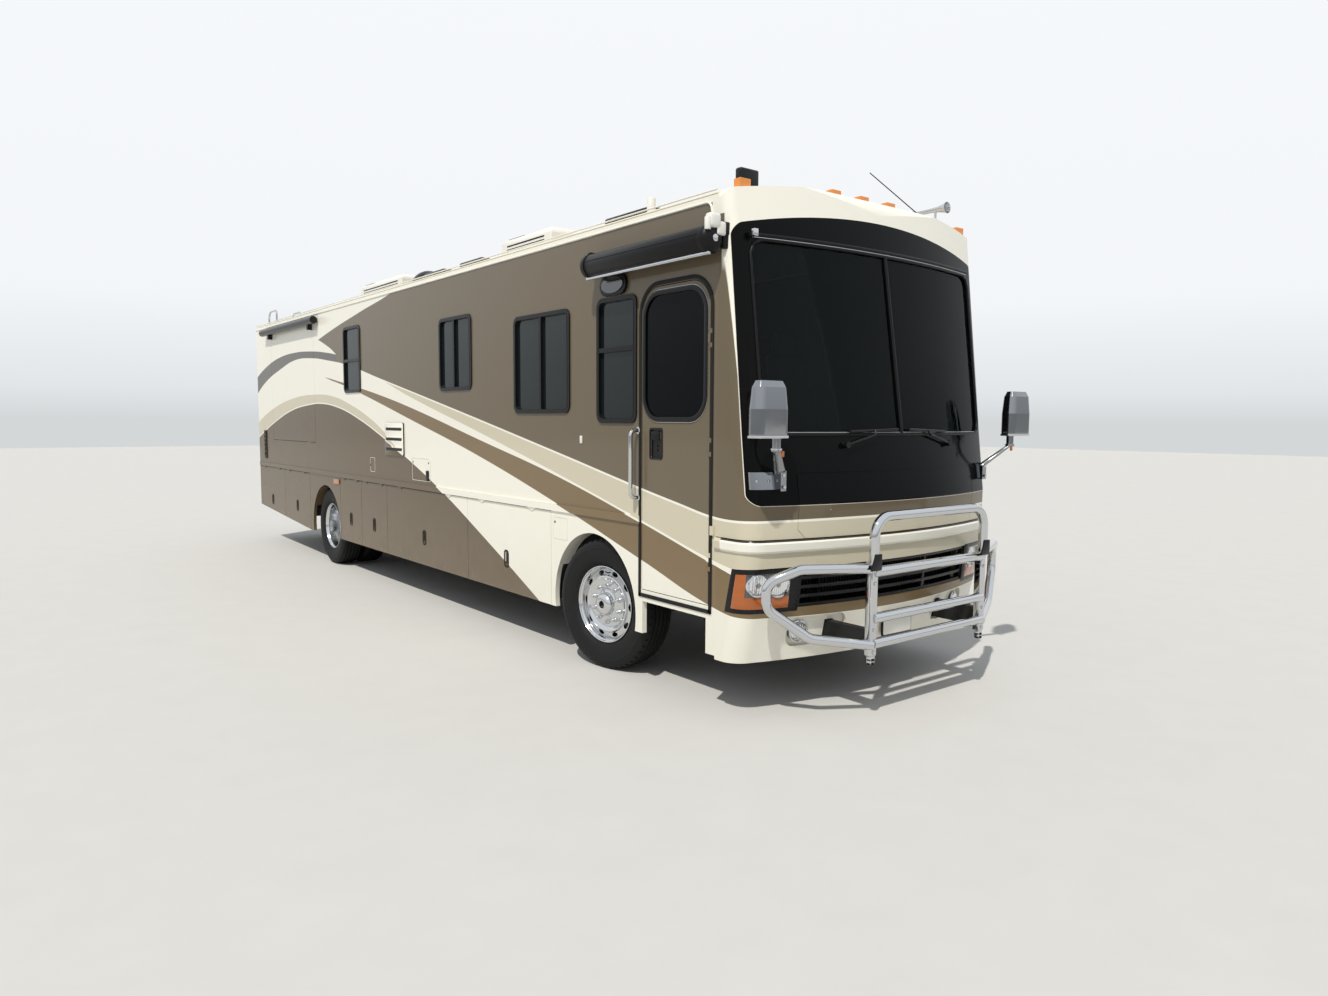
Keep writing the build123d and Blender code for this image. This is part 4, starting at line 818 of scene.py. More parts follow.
def pipe(name, route, radius, bends=0.0, sides=5):
    # Round bar along straight runs with rounded corners
    piece = drawn(name, route)
    bpy.ops.object.mode_set(mode="OBJECT")
    if bends:
        for index in range(len(route) - 2, 0, -1):
            before, here, after = (Vector(route[i]) for i in (index - 1, index, index + 1))
            turn = (here - before).angle(after - here)
            bend = bends[index - 1] if isinstance(bends, (tuple, list)) else bends
            edit(piece)
            chooseNearest(piece, here)
            steps = max(3, int(math.degrees(turn) / 9))
            bpy.ops.mesh.bevel(affect="VERTICES", offset=bend * math.tan(turn / 2), segments=steps)
            bpy.ops.object.mode_set(mode="OBJECT")
    pick(piece)
    bpy.ops.object.convert(target="CURVE")
    line = bpy.context.object
    line.data.bevel_depth = radius
    line.data.bevel_resolution = sides
    line.data.use_fill_caps = True
    bpy.ops.object.convert(target="MESH")
    piece = named(name)
    edit(piece)
    outward()
    return smooth(piece, 50)


def bar(name, start, end, radius, sides=24):
    # Straight round bar between two points
    a, b = Vector(start), Vector(end)
    bpy.ops.mesh.primitive_cylinder_add(vertices=sides, radius=radius, depth=(b - a).length)
    piece = named(name)
    turn = (b - a).to_track_quat("Z", "Y").to_matrix().to_4x4()
    piece.matrix_world = Matrix.Translation((a + b) / 2) @ turn
    settle(piece)
    softened(piece, radius * 0.12, 2, 60)
    return smooth(piece)


def block(name, low, high, bevel=0.004, segments=2):
    # Box between two corners, with its edges rounded
    size = [b - a for a, b in zip(low, high)]
    bpy.ops.mesh.primitive_cube_add(size=1, location=[(a + b) / 2 for a, b in zip(low, high)])
    piece = named(name)
    piece.scale = size
    settle(piece)
    softened(piece, bevel, segments)
    return smooth(piece)


def cutAway(piece, cutters):
    tool = joined(cutters, "cutter")
    pick(piece)
    modifier = piece.modifiers.new("cut", "BOOLEAN")
    modifier.object = tool
    modifier.operation = "DIFFERENCE"
    modifier.solver = "EXACT"
    bpy.ops.object.modifier_apply(modifier=modifier.name)
    bpy.data.objects.remove(tool)
    return piece


print("tools ready")

# Wheels, drawn about z as the outboard direction

wheel = {
    "frontX": 1.136,
    "rearX": 1.107,
    "dualSpacing": 0.320,
    "kingpinX": 0.980,
    "steer": 9.0,
    "handHoles": 10,
    "holeRadius": 0.2455,
    "holeSize": (0.036, 0.062),
    "lugNuts": 10,
    "lugRadius": 0.143,
}
tyre = {
    "beadRadius": 0.2855,
    "radius": 0.503,
    "halfWidth": 0.1375,
    "grooves": (-0.066, -0.023, 0.023, 0.066),
    "grooveWidth": 0.010,
    "grooveDepth": 0.013,
    "steps": 150,
    # Faces of the tread within these radii are notched, one in three round the tyre
    "tread": (0.489, 0.5012),
    "notchEvery": 3,
    "notchDepth": 0.007,
}


def tyreProfile():
    # From the inner bead over the tread to the outer bead
    half = [(tyre["beadRadius"], 0.098), (0.2995, 0.1005), (0.306, 0.107), (0.330, 0.1235), (0.334, 0.1262),
            (0.339, 0.1262), (0.343, 0.1285), (0.372, 0.1345), (0.400, tyre["halfWidth"]), (0.430, 0.1368),
            (0.4335, 0.1385), (0.4415, 0.1385), (0.445, 0.1355), (0.462, 0.1325), (0.476, 0.1265),
            (0.490, 0.1185), (0.4985, 0.108), (0.5015, 0.098), (tyre["radius"], 0.088)]
    top = []
    wide = tyre["grooveWidth"] / 2
    foot = wide * 0.5
    for place in sorted(tyre["grooves"], reverse=True):
        crown = tyre["radius"] - 0.02 * place * place
        low = crown - tyre["grooveDepth"]
        top += [(crown, place + wide), (low, place + foot), (low, place - foot), (crown, place - wide)]
    return half + top + [(r, -z) for r, z in reversed(half)] + [half[0]]


def makeTyre(name):
    piece = spun(name, tyreProfile(), tyre["steps"], 24)
    step = 2 * math.pi / tyre["steps"]
    inner, outer = tyre["tread"]

    def notch(centre):
        radius = math.hypot(centre.x, centre.y)
        turn = int((math.atan2(centre.y, centre.x) + math.pi) / step)
        return inner < radius < outer and turn % tyre["notchEvery"] == 0

    edit(piece, "FACE")
    chooseFaces(piece, notch)
    bpy.ops.mesh.extrude_region_shrink_fatten(TRANSFORM_OT_shrink_fatten={"value": -tyre["notchDepth"]})
    bpy.ops.object.mode_set(mode="OBJECT")
    return smooth(piece, 24)


rimFlange = [(0.273, 0.072), (0.2745, 0.088), (0.281, 0.099), (0.2865, 0.1035), (0.2885, 0.111),
             (0.2925, 0.115), (0.2975, 0.1135), (0.298, 0.1045), (0.2935, 0.1025), (0.2845, 0.096),
             (0.2845, -0.096), (0.298, -0.1045), (0.298, -0.1145), (0.287, -0.115), (0.273, -0.094)]
wheelFaces = {
    # Radius and height over the outboard face, then over the back of the disc
    "front": {
        "face": [(0.0, 0.118), (0.026, 0.118), (0.028, 0.142), (0.034, 0.147), (0.052, 0.1455),
                 (0.072, 0.137), (0.084, 0.122), (0.089, 0.104), (0.091, 0.090), (0.100, 0.084),
                 (0.116, 0.080), (0.178, 0.0745), (0.192, 0.080), (0.204, 0.091), (0.212, 0.0945),
                 (0.2195, 0.0905), (0.2235, 0.080), (0.2275, 0.0745), (0.2635, 0.068), (0.2695, 0.062)],
        "back": [(0.273, 0.040), (0.264, 0.050), (0.225, 0.056), (0.110, 0.058), (0.110, -0.018),
                 (0.0, -0.018)],
        "holeLevel": 0.066,
        "nutLevel": 0.076,
    },
    "rear": {
        "face": [(0.0, 0.016), (0.040, 0.016), (0.062, 0.010), (0.074, -0.002), (0.079, -0.018),
                 (0.082, -0.092), (0.098, -0.098), (0.104, -0.118), (0.118, -0.132), (0.172, -0.138),
                 (0.192, -0.131), (0.207, -0.112), (0.218, -0.094), (0.2285, -0.0885), (0.2635, -0.086),
                 (0.2705, -0.080)],
        "back": [(0.273, -0.100), (0.262, -0.104), (0.226, -0.108), (0.186, -0.152), (0.100, -0.158),
                 (0.0, -0.158)],
        "holeLevel": -0.095,
        "nutLevel": -0.139,
    },
}


def nutProfile(level):
    return [(0.0, level + 0.043), (0.006, level + 0.0425), (0.0105, level + 0.039), (0.0125, level + 0.032),
            (0.0135, level + 0.012), (0.0195, level + 0.006), (0.0205, level), (0.0, level - 0.004)]


def around(radius, turn):
    return radius * math.cos(turn), radius * math.sin(turn)


def makeWheel(name, kind):
    shape = wheelFaces[kind]
    piece = spun(name, shape["face"] + rimFlange + shape["back"], 96, 32)
    cutters = []
    for count in range(wheel["handHoles"]):
        turn = math.radians(360 / wheel["handHoles"] * (count + 0.5))
        bpy.ops.mesh.primitive_cylinder_add(vertices=28, radius=0.5, depth=0.16)
        hole = bpy.context.object
        hole.scale = (*wheel["holeSize"], 1)
        hole.location = (*around(wheel["holeRadius"], turn), shape["holeLevel"])
        hole.rotation_euler = (0, 0, turn)
        cutters.append(settle(hole))
    cutAway(piece, cutters)
    smooth(piece, 32)
    parts = [piece]
    nut = spun("nut", nutProfile(shape["nutLevel"]), 12, 40)
    for count in range(wheel["lugNuts"]):
        turn = math.radians(360 / wheel["lugNuts"] * count)
        parts.append(copyOf(nut, "nut", Matrix.Translation((*around(wheel["lugRadius"], turn), 0))))
    bpy.data.objects.remove(nut)
    return joined(parts, name)


def wheelPlace(side, x, station, steered):
    place = Matrix.Translation((side * x, at(station), coach["axleZ"]))
    place = place @ Matrix.Rotation(math.radians(90 * side), 4, "Y")
    if steered:
        pivot = Matrix.Translation((side * wheel["kingpinX"], at(0), 0))
        place = pivot @ Matrix.Rotation(math.radians(wheel["steer"]), 4, "Z") @ pivot.inverted() @ place
    return place


def fitWheels(name, side):
    body = f"front_wheel_{name}"
    spot = wheelPlace(side, wheel["frontX"], 0, True)
    dress(copyOf(masterTyre, f"frontTyre_{name}", spot), "tyre", body, [f"front_tyre_{name}"])
    rim = copyOf(frontWheel, f"frontWheel_{name}", spot)
    dress(rim, "alloy", body, [f"front_rim_{name}"])
    # Dark oil port in the hub cover, and the valve
    profile = [(0.0, 0.1215), (0.020, 0.1215), (0.0255, 0.1195), (0.0255, 0.117), (0.0, 0.117)]
    port = [spun("port", profile, 32), bar("valve", (0.236, 0.0, 0.066), (0.252, 0.0, 0.100), 0.005, 12)]
    dress(moved(joined(port, f"wheelPort_{name}"), spot), "satin", body)
    body = f"rear_wheel_{name}"
    outer = wheelPlace(side, wheel["rearX"], coach["wheelbase"], False)
    inner = wheelPlace(side, wheel["rearX"] - wheel["dualSpacing"], coach["wheelbase"], False)
    tyres = joined([copyOf(masterTyre, "a", outer), copyOf(masterTyre, "b", inner)], f"rearTyres_{name}")
    dress(tyres, "tyre", body, [f"rear_tyres_{name}"])
    back = inner @ Matrix.Rotation(math.pi, 4, "X")
    rims = joined([copyOf(rearWheel, "a", outer), copyOf(rearWheel, "b", back)], f"rearWheels_{name}")
    dress(rims, "alloy", body, [f"rear_rims_{name}"])


masterTyre = makeTyre("tyreMaster")
frontWheel = makeWheel("frontWheelMaster", "front")
rearWheel = makeWheel("rearWheelMaster", "rear")
fitWheels("right", -1)
fitWheels("left", 1)
for master in (masterTyre, frontWheel, rearWheel):
    bpy.data.objects.remove(master)
print("wheels fitted")

# Brush guard: two posts, level tubes, a hoop and a wing loop each side

guard = {
    "postX": 0.600,
    "postS": -2.120,
    "postHalf": 0.030,
    "postDepth": 0.043,
    "postLevels": (0.430, 1.040),
    "tube": 0.033,
    "levels": (0.971, 0.673, 0.510),
    # The wing's corners, out from the post, round the loop and back: x, station, level, then the bends
    "wing": [(0.600, -2.120, 0.995), (1.06, -1.92, 1.005), (1.235, -1.80, 0.920), (1.235, -1.80, 0.760),
             (0.98, -1.935, 0.560), (0.600, -2.120, 0.500)],
    "wingBends": [0.10, 0.09, 0.10, 0.12],
    "clamp": [(-0.075, 0.0), (0.030, 0.0), (0.030, 0.105), (-0.030, 0.105)],
    "clampLevel": 0.985,
    "bolts": (0.455, 0.60, 0.90),
    "studs": (0.374, 0.398),
    "hoop": (1.0, 1.320),
    "hoopBend": 0.13,
}


def makeGuard():
    s = at(guard["postS"])
    x = guard["postX"]
    half = guard["postHalf"]
    low, high = guard["postLevels"]
    parts = []
    clamps = []
    for side in (-1, 1):
        middle = side * x
        back = s + guard["postDepth"]
        parts.append(block("post", (middle - half, s - 0.012, low), (middle + half, back, high), 0.007, 3))
        corners = (middle - 0.024, s - 0.008, 0.372), (middle + 0.024, s + 0.030, 0.432)
        parts.append(block("foot", *corners, 0.008, 3))
        wing = [(side * across, at(station), level) for across, station, level in guard["wing"]]
        parts.append(pipe("wing", wing, guard["tube"], guard["wingBends"], 7))
        clamp = panel("clamp", guard["clamp"], [0.01] * 4, 0.012, 0, 0.003)
        clamps.append(moved(clamp, facing("front", (middle, s - 0.028, guard["clampLevel"]))))
        for level in guard["bolts"]:
            parts.append(bar("bolt", (middle, s - 0.022, level), (middle, s - 0.008, level), 0.013, 12))
        for level in guard["studs"]:
            y = s + 0.010
            clamps.append(bar("stud", (middle, y, level), (middle, y, level + 0.016), 0.028, 6))
    for level in guard["levels"]:
        parts.append(bar("level", (-x, s, level), (x, s, level), guard["tube"], 32))
    low, high = guard["hoop"]
    hoop = [(-x, s, low), (-x, s, high), (x, s, high), (x, s, low)]
    parts.append(pipe("hoop", hoop, guard["tube"], guard["hoopBend"], 7))
    return joined(parts, "brushGuard"), joined(clamps, "guardClamps")


brushGuard, guardClamps = makeGuard()
dress(brushGuard, "chrome", "coach", ["brush_guard"])
dress(guardClamps, "black", "coach")
print("guard fitted")

# Edges of the frame's own panels, rounded so that they catch light

edgeWidths = {
    "window_frames": 0.0035, "entry_door": 0.0025, "rub_rails": 0.004, "roof_air_units": 0.012,
    "engine_lid": 0.003, "tail_lamps": 0.004, "amber_lamps": 0.014, "front_grille": 0.0015,
    "dashboard": 0.012, "cab_seats": 0.02, "step_tread": 0.004, "clear_lamps": 0.0015,
}
smoothOnly = ("ladder_and_handle", "steering_wheel", "mirrors", "roof_horns", "wipers", "tie_rod",
              "front_axle", "rear_axle")


def roundEdges(name, width):
    # The modifiers stay on the piece, whose own mesh is the frame's
    weld = nodes[name].modifiers.new("weld", "WELD")
    weld.merge_threshold = 0.00002
    bevel = nodes[name].modifiers.new("bevel", "BEVEL")
    bevel.width = width
    bevel.segments = 2
    bevel.limit_method = "ANGLE"
    bevel.angle_limit = math.radians(40)


edgeWidths.update({name: 0.0025 for name in nodes if name.startswith("baggage_door")})
for name, width in edgeWidths.items():
    roundEdges(name, width)
for name in smoothOnly:
    smooth(nodes[name], 40)
print("edges rounded")

# Outer surface of the nose, for what is fitted on it

noseRows = [
    (0.365, -1.780, -1.560), (0.720, -1.850, -1.640), (1.170, -1.895, -1.690), (1.400, -1.915, -1.690),
    (1.836, -1.845, -1.640), (3.050, -1.662, -1.500), (3.480, -1.597, -1.450),
]


def noseStation(x, level):
    for low, high in zip(noseRows[:-1], noseRows[1:]):
        if low[0] <= level <= high[0]:
            share = (level - low[0]) / (high[0] - low[0])
            centre = low[1] + share * (high[1] - low[1])
            sag = low[2] + share * (high[2] - low[2]) - centre
            bow = (coach["halfWidth"] ** 2 + sag ** 2) / (2 * sag)
            return centre + bow - math.sqrt(bow ** 2 - x ** 2)
    return noseRows[-1][1]


def onNose(x, level, proud=0.0):
    return (x, at(noseStation(x, level)) - proud, level)


def acrossNose(first, last, level, proud, steps=14):
    return [onNose(first + (last - first) * i / steps, level, proud) for i in range(steps + 1)]


windshield = {
    "halfWidth": 1.165,
    "low": 1.836,
    "high": 3.060,
    "corner": 0.09,
    "railLevel": 3.088,
}


def makeWindshieldTrim():
    half, low, high, corner = (windshield[k] for k in ("halfWidth", "low", "high", "corner"))
    rail = windshield["railLevel"]
    cut = corner * 0.3
    rise = [low + corner + (high - low - 2 * corner) * i / 8 for i in range(9)]
    route = acrossNose(-half + corner, half - corner, low, 0.002)
    route += [onNose(half - cut, low + cut, 0.002)]
    route += [onNose(half, level, 0.002) for level in rise]
    route += [onNose(half - cut, high - cut, 0.002)]
    route += acrossNose(half - corner, -half + corner, high, 0.002)
    route += [onNose(-half + cut, high - cut, 0.002)]
    route += [onNose(-half, level, 0.002) for level in reversed(rise)]
    route += [onNose(-half + cut, low + cut, 0.002), route[0]]
    dark = [pipe("gasket", route, 0.011, 0, 4),
            pipe("rail", acrossNose(-1.17, 1.17, rail, 0.001), 0.014, 0, 3),
            pipe("bar", [onNose(0, low + (high - low) * i / 6, 0.002) for i in range(7)], 0.013, 0, 4)]
    fitted(dark, "windshieldGasket", "satin")
    lines = [pipe("line", acrossNose(-1.15, 1.15, rail - 0.016, 0.006), 0.003, 0, 2),
             pipe("line", acrossNose(-1.10, 1.10, low + 0.014, 0.004), 0.0022, 0, 2),
             block("clip", (-1.185, at(-1.60), 3.066), (-1.150, at(-1.555), 3.112), 0.004)]
    fitted(lines, "windshieldLines", "alloy")


makeWindshieldTrim()
print("windshield trimmed")


def sideOutline(first, last, low, high, grow=0.0):
    # Corners on the right wall, from its front lower one; x runs forwards
    front, rear, low, high = grow - first, -last - grow, low - grow, high + grow
    return [(front, low), (front, high), (rear, high), (rear, low)]


def sidePanel(name, opening, grow, corner, thick, band=0.0, bevel=0.0, steps=7, proud=0.0):
    # Flat piece or frame on the right wall, with four equal corners
    piece = panel(name, sideOutline(*opening, grow), [corner] * 4, thick, band, bevel, steps)
    return moved(piece, onWall("right", 0, 0, proud))

# Right side: door seal, window lips, latches, locks and the lamp over the door

door = {
    "seal": (-1.357, -0.558, 0.656, 2.872),
    "sealRound": 0.222,
    "window": (-1.290, -0.612, 1.920, 2.800),
    "windowRound": 0.170,
    # Dark lip and bright line: growth past the window, thickness, band, edge, finish and slot
    "windowRings": [("doorWindowLip", 0.010, 0.009, 0.034, 0.0025, "black", "black_moulding"),
                    ("doorWindowLine", 0.013, 0.004, 0.004, 0.0008, "alloy", "polished_alloy")],
    "latch": (-0.820, -0.690, 1.660, 1.860),
    "keys": (1.705, 1.735),
    "paddle": (-0.803, -0.707, 1.784, 1.846),
}
sideWindows = [
    # First and last station, low and high level
    (5.02, 5.60, 2.24, 3.04), (2.08, 2.79, 2.20, 2.91), (0.36, 1.26, 1.975, 2.797),
    (-0.53, -0.025, 1.90, 2.82),
]


def makeDoorTrim():
    rounds = [0.012, door["sealRound"], door["sealRound"], 0.012]
    seal = panel("doorSeal", sideOutline(*door["seal"]), rounds, 0.007, 0.027, 0.0025, 10)
    dress(moved(seal, onWall("right", 0, 0)), "seal", "coach")
    for name, grow, thick, band, bevel, finish, slot in door["windowRings"]:
        piece = sidePanel(name, door["window"], grow, door["windowRound"] + grow, thick, band, bevel, 10)
        dress(piece, finish, "entry_door")
    pieces = [sidePanel("pan", door["latch"], -0.002, 0.012, 0.003, proud=-0.0118),
              sidePanel("rim", door["latch"], 0.010, 0.02, 0.005, 0.014, 0.0015)]
    for level in door["keys"]:
        opening = (-0.765, -0.745, level, level + 0.020)
        pieces.append(sidePanel("key", opening, 0, 0.009, 0.006, 0, 0.001, proud=-0.009))
    dress(joined(pieces, "doorLatch"), "black", "entry_door")
    paddle = sidePanel("doorPaddle", door["paddle"], 0, 0.012, 0.006, 0, 0.002, proud=0.004)
    dress(paddle, "satin", "entry_door")


def makeWindowTrim():
    lines = [sidePanel("line", opening, -0.030, 0.042, 0.003, 0.004, proud=0.0105) for opening in sideWindows]
    fitted(lines, "windowLines", "satin")


makeDoorTrim()
makeWindowTrim()

baggageDoors = {
    "right": [(0.664, 2.21), (2.21, 4.27), (4.27, 5.09), (5.09, 5.85), (7.10, 8.31), (8.31, 9.637)],
    "left": [(0.664, 2.21), (2.21, 5.85), (7.10, 9.637)],
}
latch = {
    "level": 0.680,
    "width": 0.050,
    "height": 0.130,
    "sunk": -0.0275,
}


def makeLatch(side, station, body):
    wide, tall, level, sunk = (latch[k] for k in ("width", "height", "level", "sunk"))
    rim = plate(f"latchRim_{body}", wide + 0.036, tall + 0.030, 0.004, 0.034, 0.001, 8, 0.0165)
    dress(moved(rim, onWall(side, station, level, 0.0003)), "satin", body)
    well = plate("well", wide - 0.002, tall - 0.002, 0.002, 0.023)
    moved(well, onWall(side, station, level, sunk))
    paddle = plate("paddle", wide - 0.012, tall * 0.62, 0.012, 0.014, 0.003)
    moved(paddle, onWall(side, station, level + 0.012, sunk + 0.010))
    post = plate("post", 0.014, 0.030, 0.012, 0.003)
    moved(post, onWall(side, station, level + 0.030, sunk))
    dress(joined([well, paddle, post], f"latch_{body}"), "black", body)


for side, rows in baggageDoors.items():
    for count, (first, last) in enumerate(rows, start=1):
        makeLatch(side, (first + last) / 2, f"baggage_door_{side}_{count}")


fittings = {
    # Width, height, thickness, corner and edge, then the station and level of each
    "lock": ((0.018, 0.018, 0.004, 0.0085, 0.001),
             [(0.60, 1.09), (3.50, 1.47), (3.10, 1.47), (4.76, 1.385)]),
    "bell": ((0.030, 0.060, 0.008, 0.006, 0.002), [(0.20, 1.77)]),
    "switch": ((0.034, 0.040, 0.007, 0.005, 0.002), [(-0.455, 1.570), (-0.455, 1.632), (-0.455, 1.694)]),
}
porchLamp = (-0.25, 2.905)
handleFeet = [(-0.548, 1.370), (-0.548, 1.850)]


def wallPlates(kind):
    size, spots = fittings[kind]
    return [moved(plate(kind, *size), onWall("right", *spot)) for spot in spots]


def makeSmallFittings():
    fitted(wallPlates("bell") + wallPlates("switch"), "doorBell", "white")
    base = plate("porchBase", 0.330, 0.150, 0.022, 0.0745, 0.005, 10, 0.030)
    dark = wallPlates("lock") + [moved(base, onWall("right", *porchLamp, 0.0003))]
    fitted(dark, "sideFittings", "black")
    feet = []
    for spot in handleFeet:
        foot = spun("foot", [(0.0155, 0), (0.027, 0), (0.027, 0.004), (0.021, 0.009), (0.0155, 0.010)], 28)
        feet.append(moved(foot, onWall("right", *spot, 0.0003)))
    fitted(feet, "handleFeet", "chrome")


makeSmallFittings()

sideHatches = {
    # First and last station, low and high level
    "outlines": [(3.055, 3.525, 1.275, 1.516), (4.615, 4.765, 1.305, 1.475)],
    "vent": (3.73, 4.25, 1.52, 1.88),
    "slots": (1.591, 1.702, 1.813),
    "handle": (3.125, 1.338),
}


def makeSideHatches():
    # Bright outlines round two hatches, and the painted face of the louvred vent, where three dark strips are
    # painted shade in its slots
    bright = []
    for opening in sideHatches["outlines"]:
        bright.append(sidePanel("hatchLine", opening, 0, 0.024, 0.003, 0.005, 0.001, proud=0.0003))
    fitted(bright, "hatchLines", "cream")
    first, last = sideHatches["vent"][:2]
    wall = -coach["halfWidth"]
    face = [sidePanel("face", sideHatches["vent"], 0, 0.03, 0.003, 0, 0.001, proud=0.0143)]
    handle = plate("handle", 0.058, 0.105, 0.012, 0.012, 0.003)
    dark = [moved(handle, onWall("right", *sideHatches["handle"], 0.0003))]
    for level in sideHatches["slots"]:
        opening = (first + 0.035, last - 0.035, level - 0.017, level + 0.017)
        # Dark strip painted as the shade inside the slot, under the hood above it
        dark.append(sidePanel("slot", opening, 0, 0.008, 0.001, proud=0.0175))
        low = (wall - 0.028, at(first + 0.03), level + 0.014)
        face.append(block("hood", low, (wall - 0.0168, at(last - 0.03), level + 0.030), 0.003))
    fitted(face, "ventFace", "paint")
    fitted(dark, "ventSlotShade", "satin")


makeSideHatches()
print("right side trimmed")

# Drip rails along the roof, which curve down at the nose

dripRails = {
    "out": 1.297,
    "rear": 9.66,
    "middle": 2.0,
    "low": 3.306,
    "lowEnd": (-1.315, -1.335, 3.212),
    "high": 3.372,
    "highEnd": -1.375,
}


def makeDripRails():
    rear, middle, low, high = (dripRails[k] for k in ("rear", "middle", "low", "high"))
    turn, tip, drop = dripRails["lowEnd"]
    rails = []
    for side in (-1, 1):
        x = side * dripRails["out"]
        route = [(x, at(rear), low), (x, at(middle), low), (x, at(turn), low), (x, at(tip), drop)]
        rails.append(pipe("rail", route, 0.0085, [0.3, 0.05], 4))
        route = [(x, at(rear), high), (x, at(middle), high), (x, at(dripRails["highEnd"]), high)]
        rails.append(pipe("rail", route, 0.006, 0, 3))
    fitted(rails, "dripRails", "cream")


makeDripRails()

# Awning over the door: roller, end caps, lead rail, arms and the joint at its front

awning = {
    "x": -1.395,
    "level": 3.045,
    "front": -1.475,
    "rear": -0.040,
    "radius": 0.092,
    "armEnd": -1.2753,
    "cap": [(0.0, 0.0), (0.030, 0.001), (0.052, 0.005), (0.076, 0.016), (0.088, 0.032), (0.0915, 0.050),
            (0.0915, 0.075), (0.084, 0.078), (0.0, 0.078)],
    "stub": [(0, -0.004), (0.016, -0.004), (0.022, -0.0015), (0.022, 0.004), (0, 0.004)],
    # Blocks of the front joint from the roller's end: low corner, high corner, edge
    "joint": [((-0.050, -0.012, 0.060), (0.040, 0.050, 0.150), 0.018),
              ((0.010, -0.008, 0.020), (0.085, 0.030, 0.105), 0.014)],
}


def awningEnd(name, profile, steps, station, way):
    piece = spun(name, profile, steps)
    turn = Matrix.Rotation(math.radians(90 * way), 4, "X")
    return moved(piece, Matrix.Translation((awning["x"], at(station), awning["level"])) @ turn)


def makeAwning():
    x, level, front, rear, radius = (awning[k] for k in ("x", "level", "front", "rear", "radius"))
    wall = awning["armEnd"]
    inner = radius - 0.006
    parts = [bar("roller", (x, at(front + 0.045), level), (x, at(rear - 0.045), level), inner, 64)]
    stubs = []
    for station, way in ((rear, 1), (front, -1)):
        parts.append(awningEnd("cap", awning["cap"], 56, station, way))
        stubs.append(awningEnd("stub", awning["stub"], 28, station, way))
    for count in range(5):
        across, up = around(inner, math.radians(20 + 72 * count))
        start, end = (x + across, at(front + 0.08), level + up), (x + across, at(rear - 0.08), level + up)
        parts.append(bar("seam", start, end, 0.004, 10))
    for station in (front + 0.02, rear - 0.02):
        y0, y1 = at(station - 0.02), at(station + 0.02)
        parts.append(block("arm", (x, y0, level + 0.03), (wall, y1, level + 0.108), 0.006))
        y0, y1 = at(station - 0.016), at(station + 0.016)
        parts.append(block("arm", (-1.325, y0, level - 0.055), (wall, y1, level + 0.09), 0.005))
    fitted(parts, "doorAwning", "satin", ["door_awning"])
    low, high = (x - 0.035, at(front + 0.03), level - 0.100), (x - 0.012, at(rear - 0.03), level - 0.078)
    fitted([block("rail", low, high, 0.004, 3)] + stubs, "awningRail", "alloy")
    joint = []
    for low, high, bevel in awning["joint"]:
        corners = [(x + across, at(front + along), level + up) for across, along, up in (low, high)]
        joint.append(block("knuckle", *corners, bevel, 3))
    y0 = at(front + 0.012)
    joint.append(bar("knuckle", (x - 0.055, y0, level + 0.045), (x - 0.055, y0, level + 0.120), 0.020, 20))
    fitted(joint, "awningJoint", "white")


makeAwning()
print("awning fitted")

# Mirrors: bright lower lip, rings of the arm, studs and small lamp

mirror = {
    "headX": 1.335,
    "armX": 1.266,
    "station": -1.900,
    "lipLevel": 1.818,
    "collars": [(1.752, 0.0355), (1.820, 0.031)],
    # Distance from the middle, level, reach from the nose and radius
    "studs": [(1.096, 1.512, 0.060, 0.072, 0.012), (1.096, 1.586, 0.060, 0.072, 0.012),
              (1.155, 1.548, 0.004, 0.014, 0.010), (1.235, 1.548, 0.004, 0.014, 0.010)],
    "lamp": (1.242, -1.922, 1.724),
}


def makeMirrorTrim():
    lips = []
    lamps = []
    y = at(mirror["station"])
    for side in (-1, 1):
        lip = plate("lip", 0.280, 0.128, 0.018, 0.05, 0.005)
        lips.append(moved(lip, Matrix.Translation((side * mirror["headX"], y, mirror["lipLevel"]))))
        for level, wide in mirror["collars"]:
            collar = spun("collar", [(0.026, 0), (wide, 0.002), (wide, 0.012), (0.026, 0.014)], 32)
            lips.append(moved(collar, Matrix.Translation((side * mirror["armX"], y, level - 0.007))))
        for across, level, start, end, radius in mirror["studs"]:
            ends = [onNose(side * across, level, proud) for proud in (start, end)]
            lips.append(bar("stud", *ends, radius, 6))
        across, station, level = mirror["lamp"]
        lamp = plate("lamp", 0.018, 0.038, 0.014, 0.008, 0.003)
        lamps.append(moved(lamp, facing("front", (side * across, at(station), level))))
    fitted(lips, "mirrorTrim", "chrome")
    fitted(lamps, "mirrorLamps", "amber")


makeMirrorTrim()

# Nose: dark radiator core behind the grille, blank plate, bright rings round the lamps

nose = {
    # Parts of the core lie between the guard's brackets
    "core": [(-0.95, -0.645), (-0.555, 0.555), (0.645, 0.95)],
    "coreStation": -1.62,
    "coreLevels": (0.640, 1.060),
    "finPitch": 0.03,
    "plate": (0.02, -1.838, 0.520),
}


